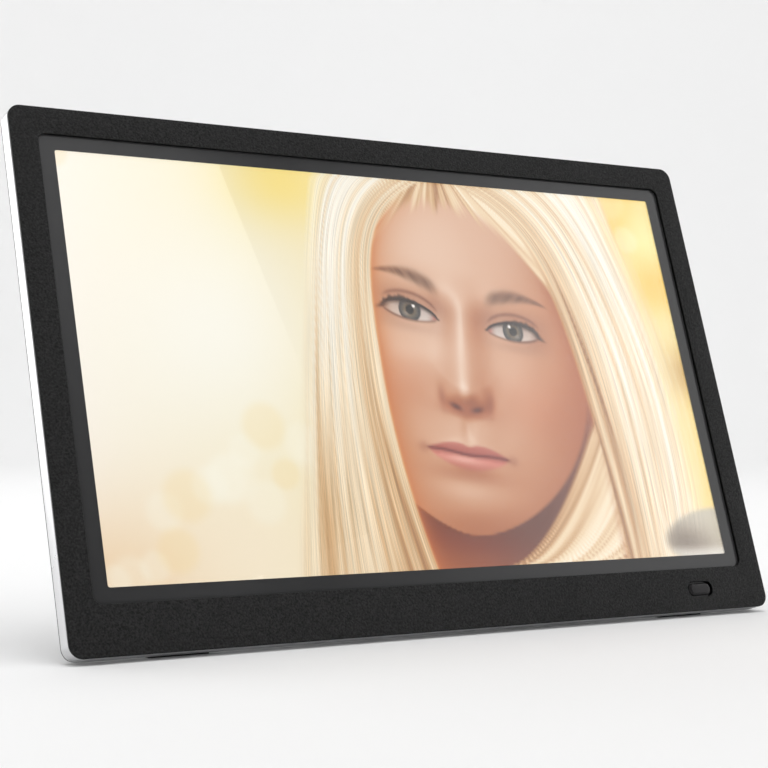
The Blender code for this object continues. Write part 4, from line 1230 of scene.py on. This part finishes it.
def window_light():
    """A tall softbox whose image in the glass ends in a slanted edge across the left of the screen."""
    reach, width, height = 2.5, 620.0, 900.0
    camera = PANEL.inverted() @ (SCREEN_MIDDLE + EYE_FROM_SCREEN) / MM
    mirrored = Vector((camera.x, 2 * GLASS_Y0 - camera.y, camera.z))
    edge_high = Vector(((0.237 - 0.5) * SCREEN_W, GLASS_Y0, SCREEN_Z + 0.5 * SCREEN_H))
    edge_low = Vector(((0.38 - 0.5) * SCREEN_W, GLASS_Y0, SCREEN_Z - 0.406 * SCREEN_H))
    top, bottom = (mirrored + (point - mirrored) * reach for point in (edge_high, edge_low))
    up = (top - bottom).normalized()
    across = up.cross(Vector((0, -1, 0))).normalized()
    middle = bottom + up * height / 2 - across * width / 2
    turn = PANEL.to_3x3()
    size = (width * MM, height * MM)
    panel_light("window_light", PANEL @ (middle * MM), -(turn @ across), turn @ up, size, 1.45, fade=0.75)


def right_light():
    """A broad softbox ahead and to the right, dimmed at its left side: the glass lightens rightwards."""
    mirrored = Vector((0.694, -0.681, 0.234)).normalized()
    start, distance, aside = Vector((0.18, 0, 0.125)), 2.0, 0.03
    up = (Vector((0, 0, 1)) - mirrored * mirrored.z).normalized()
    outward = up.cross(mirrored)
    centre = start + mirrored * distance + outward * aside
    turn = PANEL.to_3x3()
    panel_light("right_light", PANEL @ centre, turn @ up, turn @ outward, (1.6, 1.6), 1.6, fade=0.45)


def soft_light(name, location, target, size, radiance):
    """An upright softbox turned to face a target."""
    ahead = (Vector(target) - Vector(location)).normalized()
    right = ahead.cross(Vector((0, 0, 1))).normalized()
    up = right.cross(ahead).normalized()
    panel_light(name, Vector(location), -right, up, (size, size), radiance)


def pale_sky():
    """An even white sky, with colours shown as they are."""
    world = bpy.data.worlds.new("studio")
    world.use_nodes = True
    background = world.node_tree.nodes["Background"]
    background.inputs["Color"].default_value = (1, 1, 1, 1)
    background.inputs["Strength"].default_value = 0.5
    bpy.context.scene.world = world
    bpy.context.scene.view_settings.view_transform = "Standard"


def pale_floor():
    """A round paper floor that curves up into a wall on every side, in metres."""
    radius, bend, wall, steps = 3.0, 1.5, 6.0, 16
    profile = [(radius - 0.1, 0.0)]
    for step in range(steps + 1):
        angle = math.radians(90 * step / steps)
        profile.append((radius + bend * math.sin(angle), bend * (1 - math.cos(angle))))
    profile.append((radius + bend, wall))
    bm = bmesh.new()
    rows = [[bm.verts.new((r * c, r * s, z)) for c, s in circle(96)] for r, z in profile]
    bm.faces.new(rows[0])
    strips(bm, rows[::-1])
    data = bpy.data.meshes.new("floor")
    bm.to_mesh(data)
    bm.free()
    data.shade_smooth()
    paper = Look("pale_paper", (0.86, 0.86, 0.86), 0.9)
    data.materials.append(paper.wire(Normal=paper.bump(paper.noise(0.8), 0.1, 0.02)))
    linked("floor", data)


def studio():
    """The sky, the floor and the softboxes round the frame."""
    middle = (0, 0, 0.1)
    pale_sky()
    pale_floor()
    window_light()
    soft_light("high_light", (-0.35, -0.25, 2.3), middle, 1.5, 3.3)
    soft_light("left_light", (-1.3, 1.9, 0.25), middle, 1.8, 2.6)
    right_light()
    soft_light("floor_light", (-0.75, 1.0, 0.16), middle, 0.3, 2.6)
    soft_light("backdrop_light", (1.0, 1.6, 3.4), (2.2, 3.3, 0.6), 2.4, 3.2)


# ---------------------------------------------------------------- the whole

place_camera()
cover_look = grained_plastic("cover_plastic", (0.016, 0.016, 0.017), 0.55, grain_mm=0.7)
front_bezel(
    grained_plastic("bezel_plastic", (0.011, 0.011, 0.011), 0.5, grain_mm=0.9, depth=0.5, specular=0.16),
    # The bezel edge's darker colour is painted shade; its smooth finish is real.
    smooth_ink("bezel_edge_painted_shade", (0.002, 0.002, 0.002), 0.35, specular=0.15),
)
side_band(silver_paint("silver_paint"))
glass_pane(clear_glass("clear_glass"))
glass_border(smooth_ink("border_ink", (0.043, 0.043, 0.044), 0.14, specular=0.32))
lit_cell(picture_material())
window_lens(smooth_ink("window_plastic", (0.006, 0.005, 0.006), 0.25, specular=0.25))
rear_cover(cover_look)
stand_leg(grained_plastic("leg_plastic", (0.016, 0.016, 0.017), 0.5, grain_mm=0.6))
button_look = grained_plastic("button_plastic", (0.014, 0.014, 0.015), 0.4, grain_mm=0.4, depth=0.02)
for index in range(1, BUTTONS + 1):
    button(index, button_look)
finish_cad_nodes({
    "steel": plated_steel("plated_steel"),
    "board": circuit_board("circuit_board"),
    "chip": grained_plastic("chip_resin", (0.02, 0.02, 0.02), 0.5, grain_mm=0.25, depth=0.02),
    "aluminium": brushed_aluminium("brushed_aluminium"),
    "film": white_film("white_film"),
    "acrylic": clear_acrylic("clear_acrylic"),
    "rubber": soft_rubber("soft_rubber"),
    "ribbon": flat_cable("flat_cable"),
    "cable": grained_plastic("cable_sheath", (0.04, 0.04, 0.04), 0.5, grain_mm=0.3, depth=0.02),
    "speaker": paper_cone("paper_cone"),
})
studio()
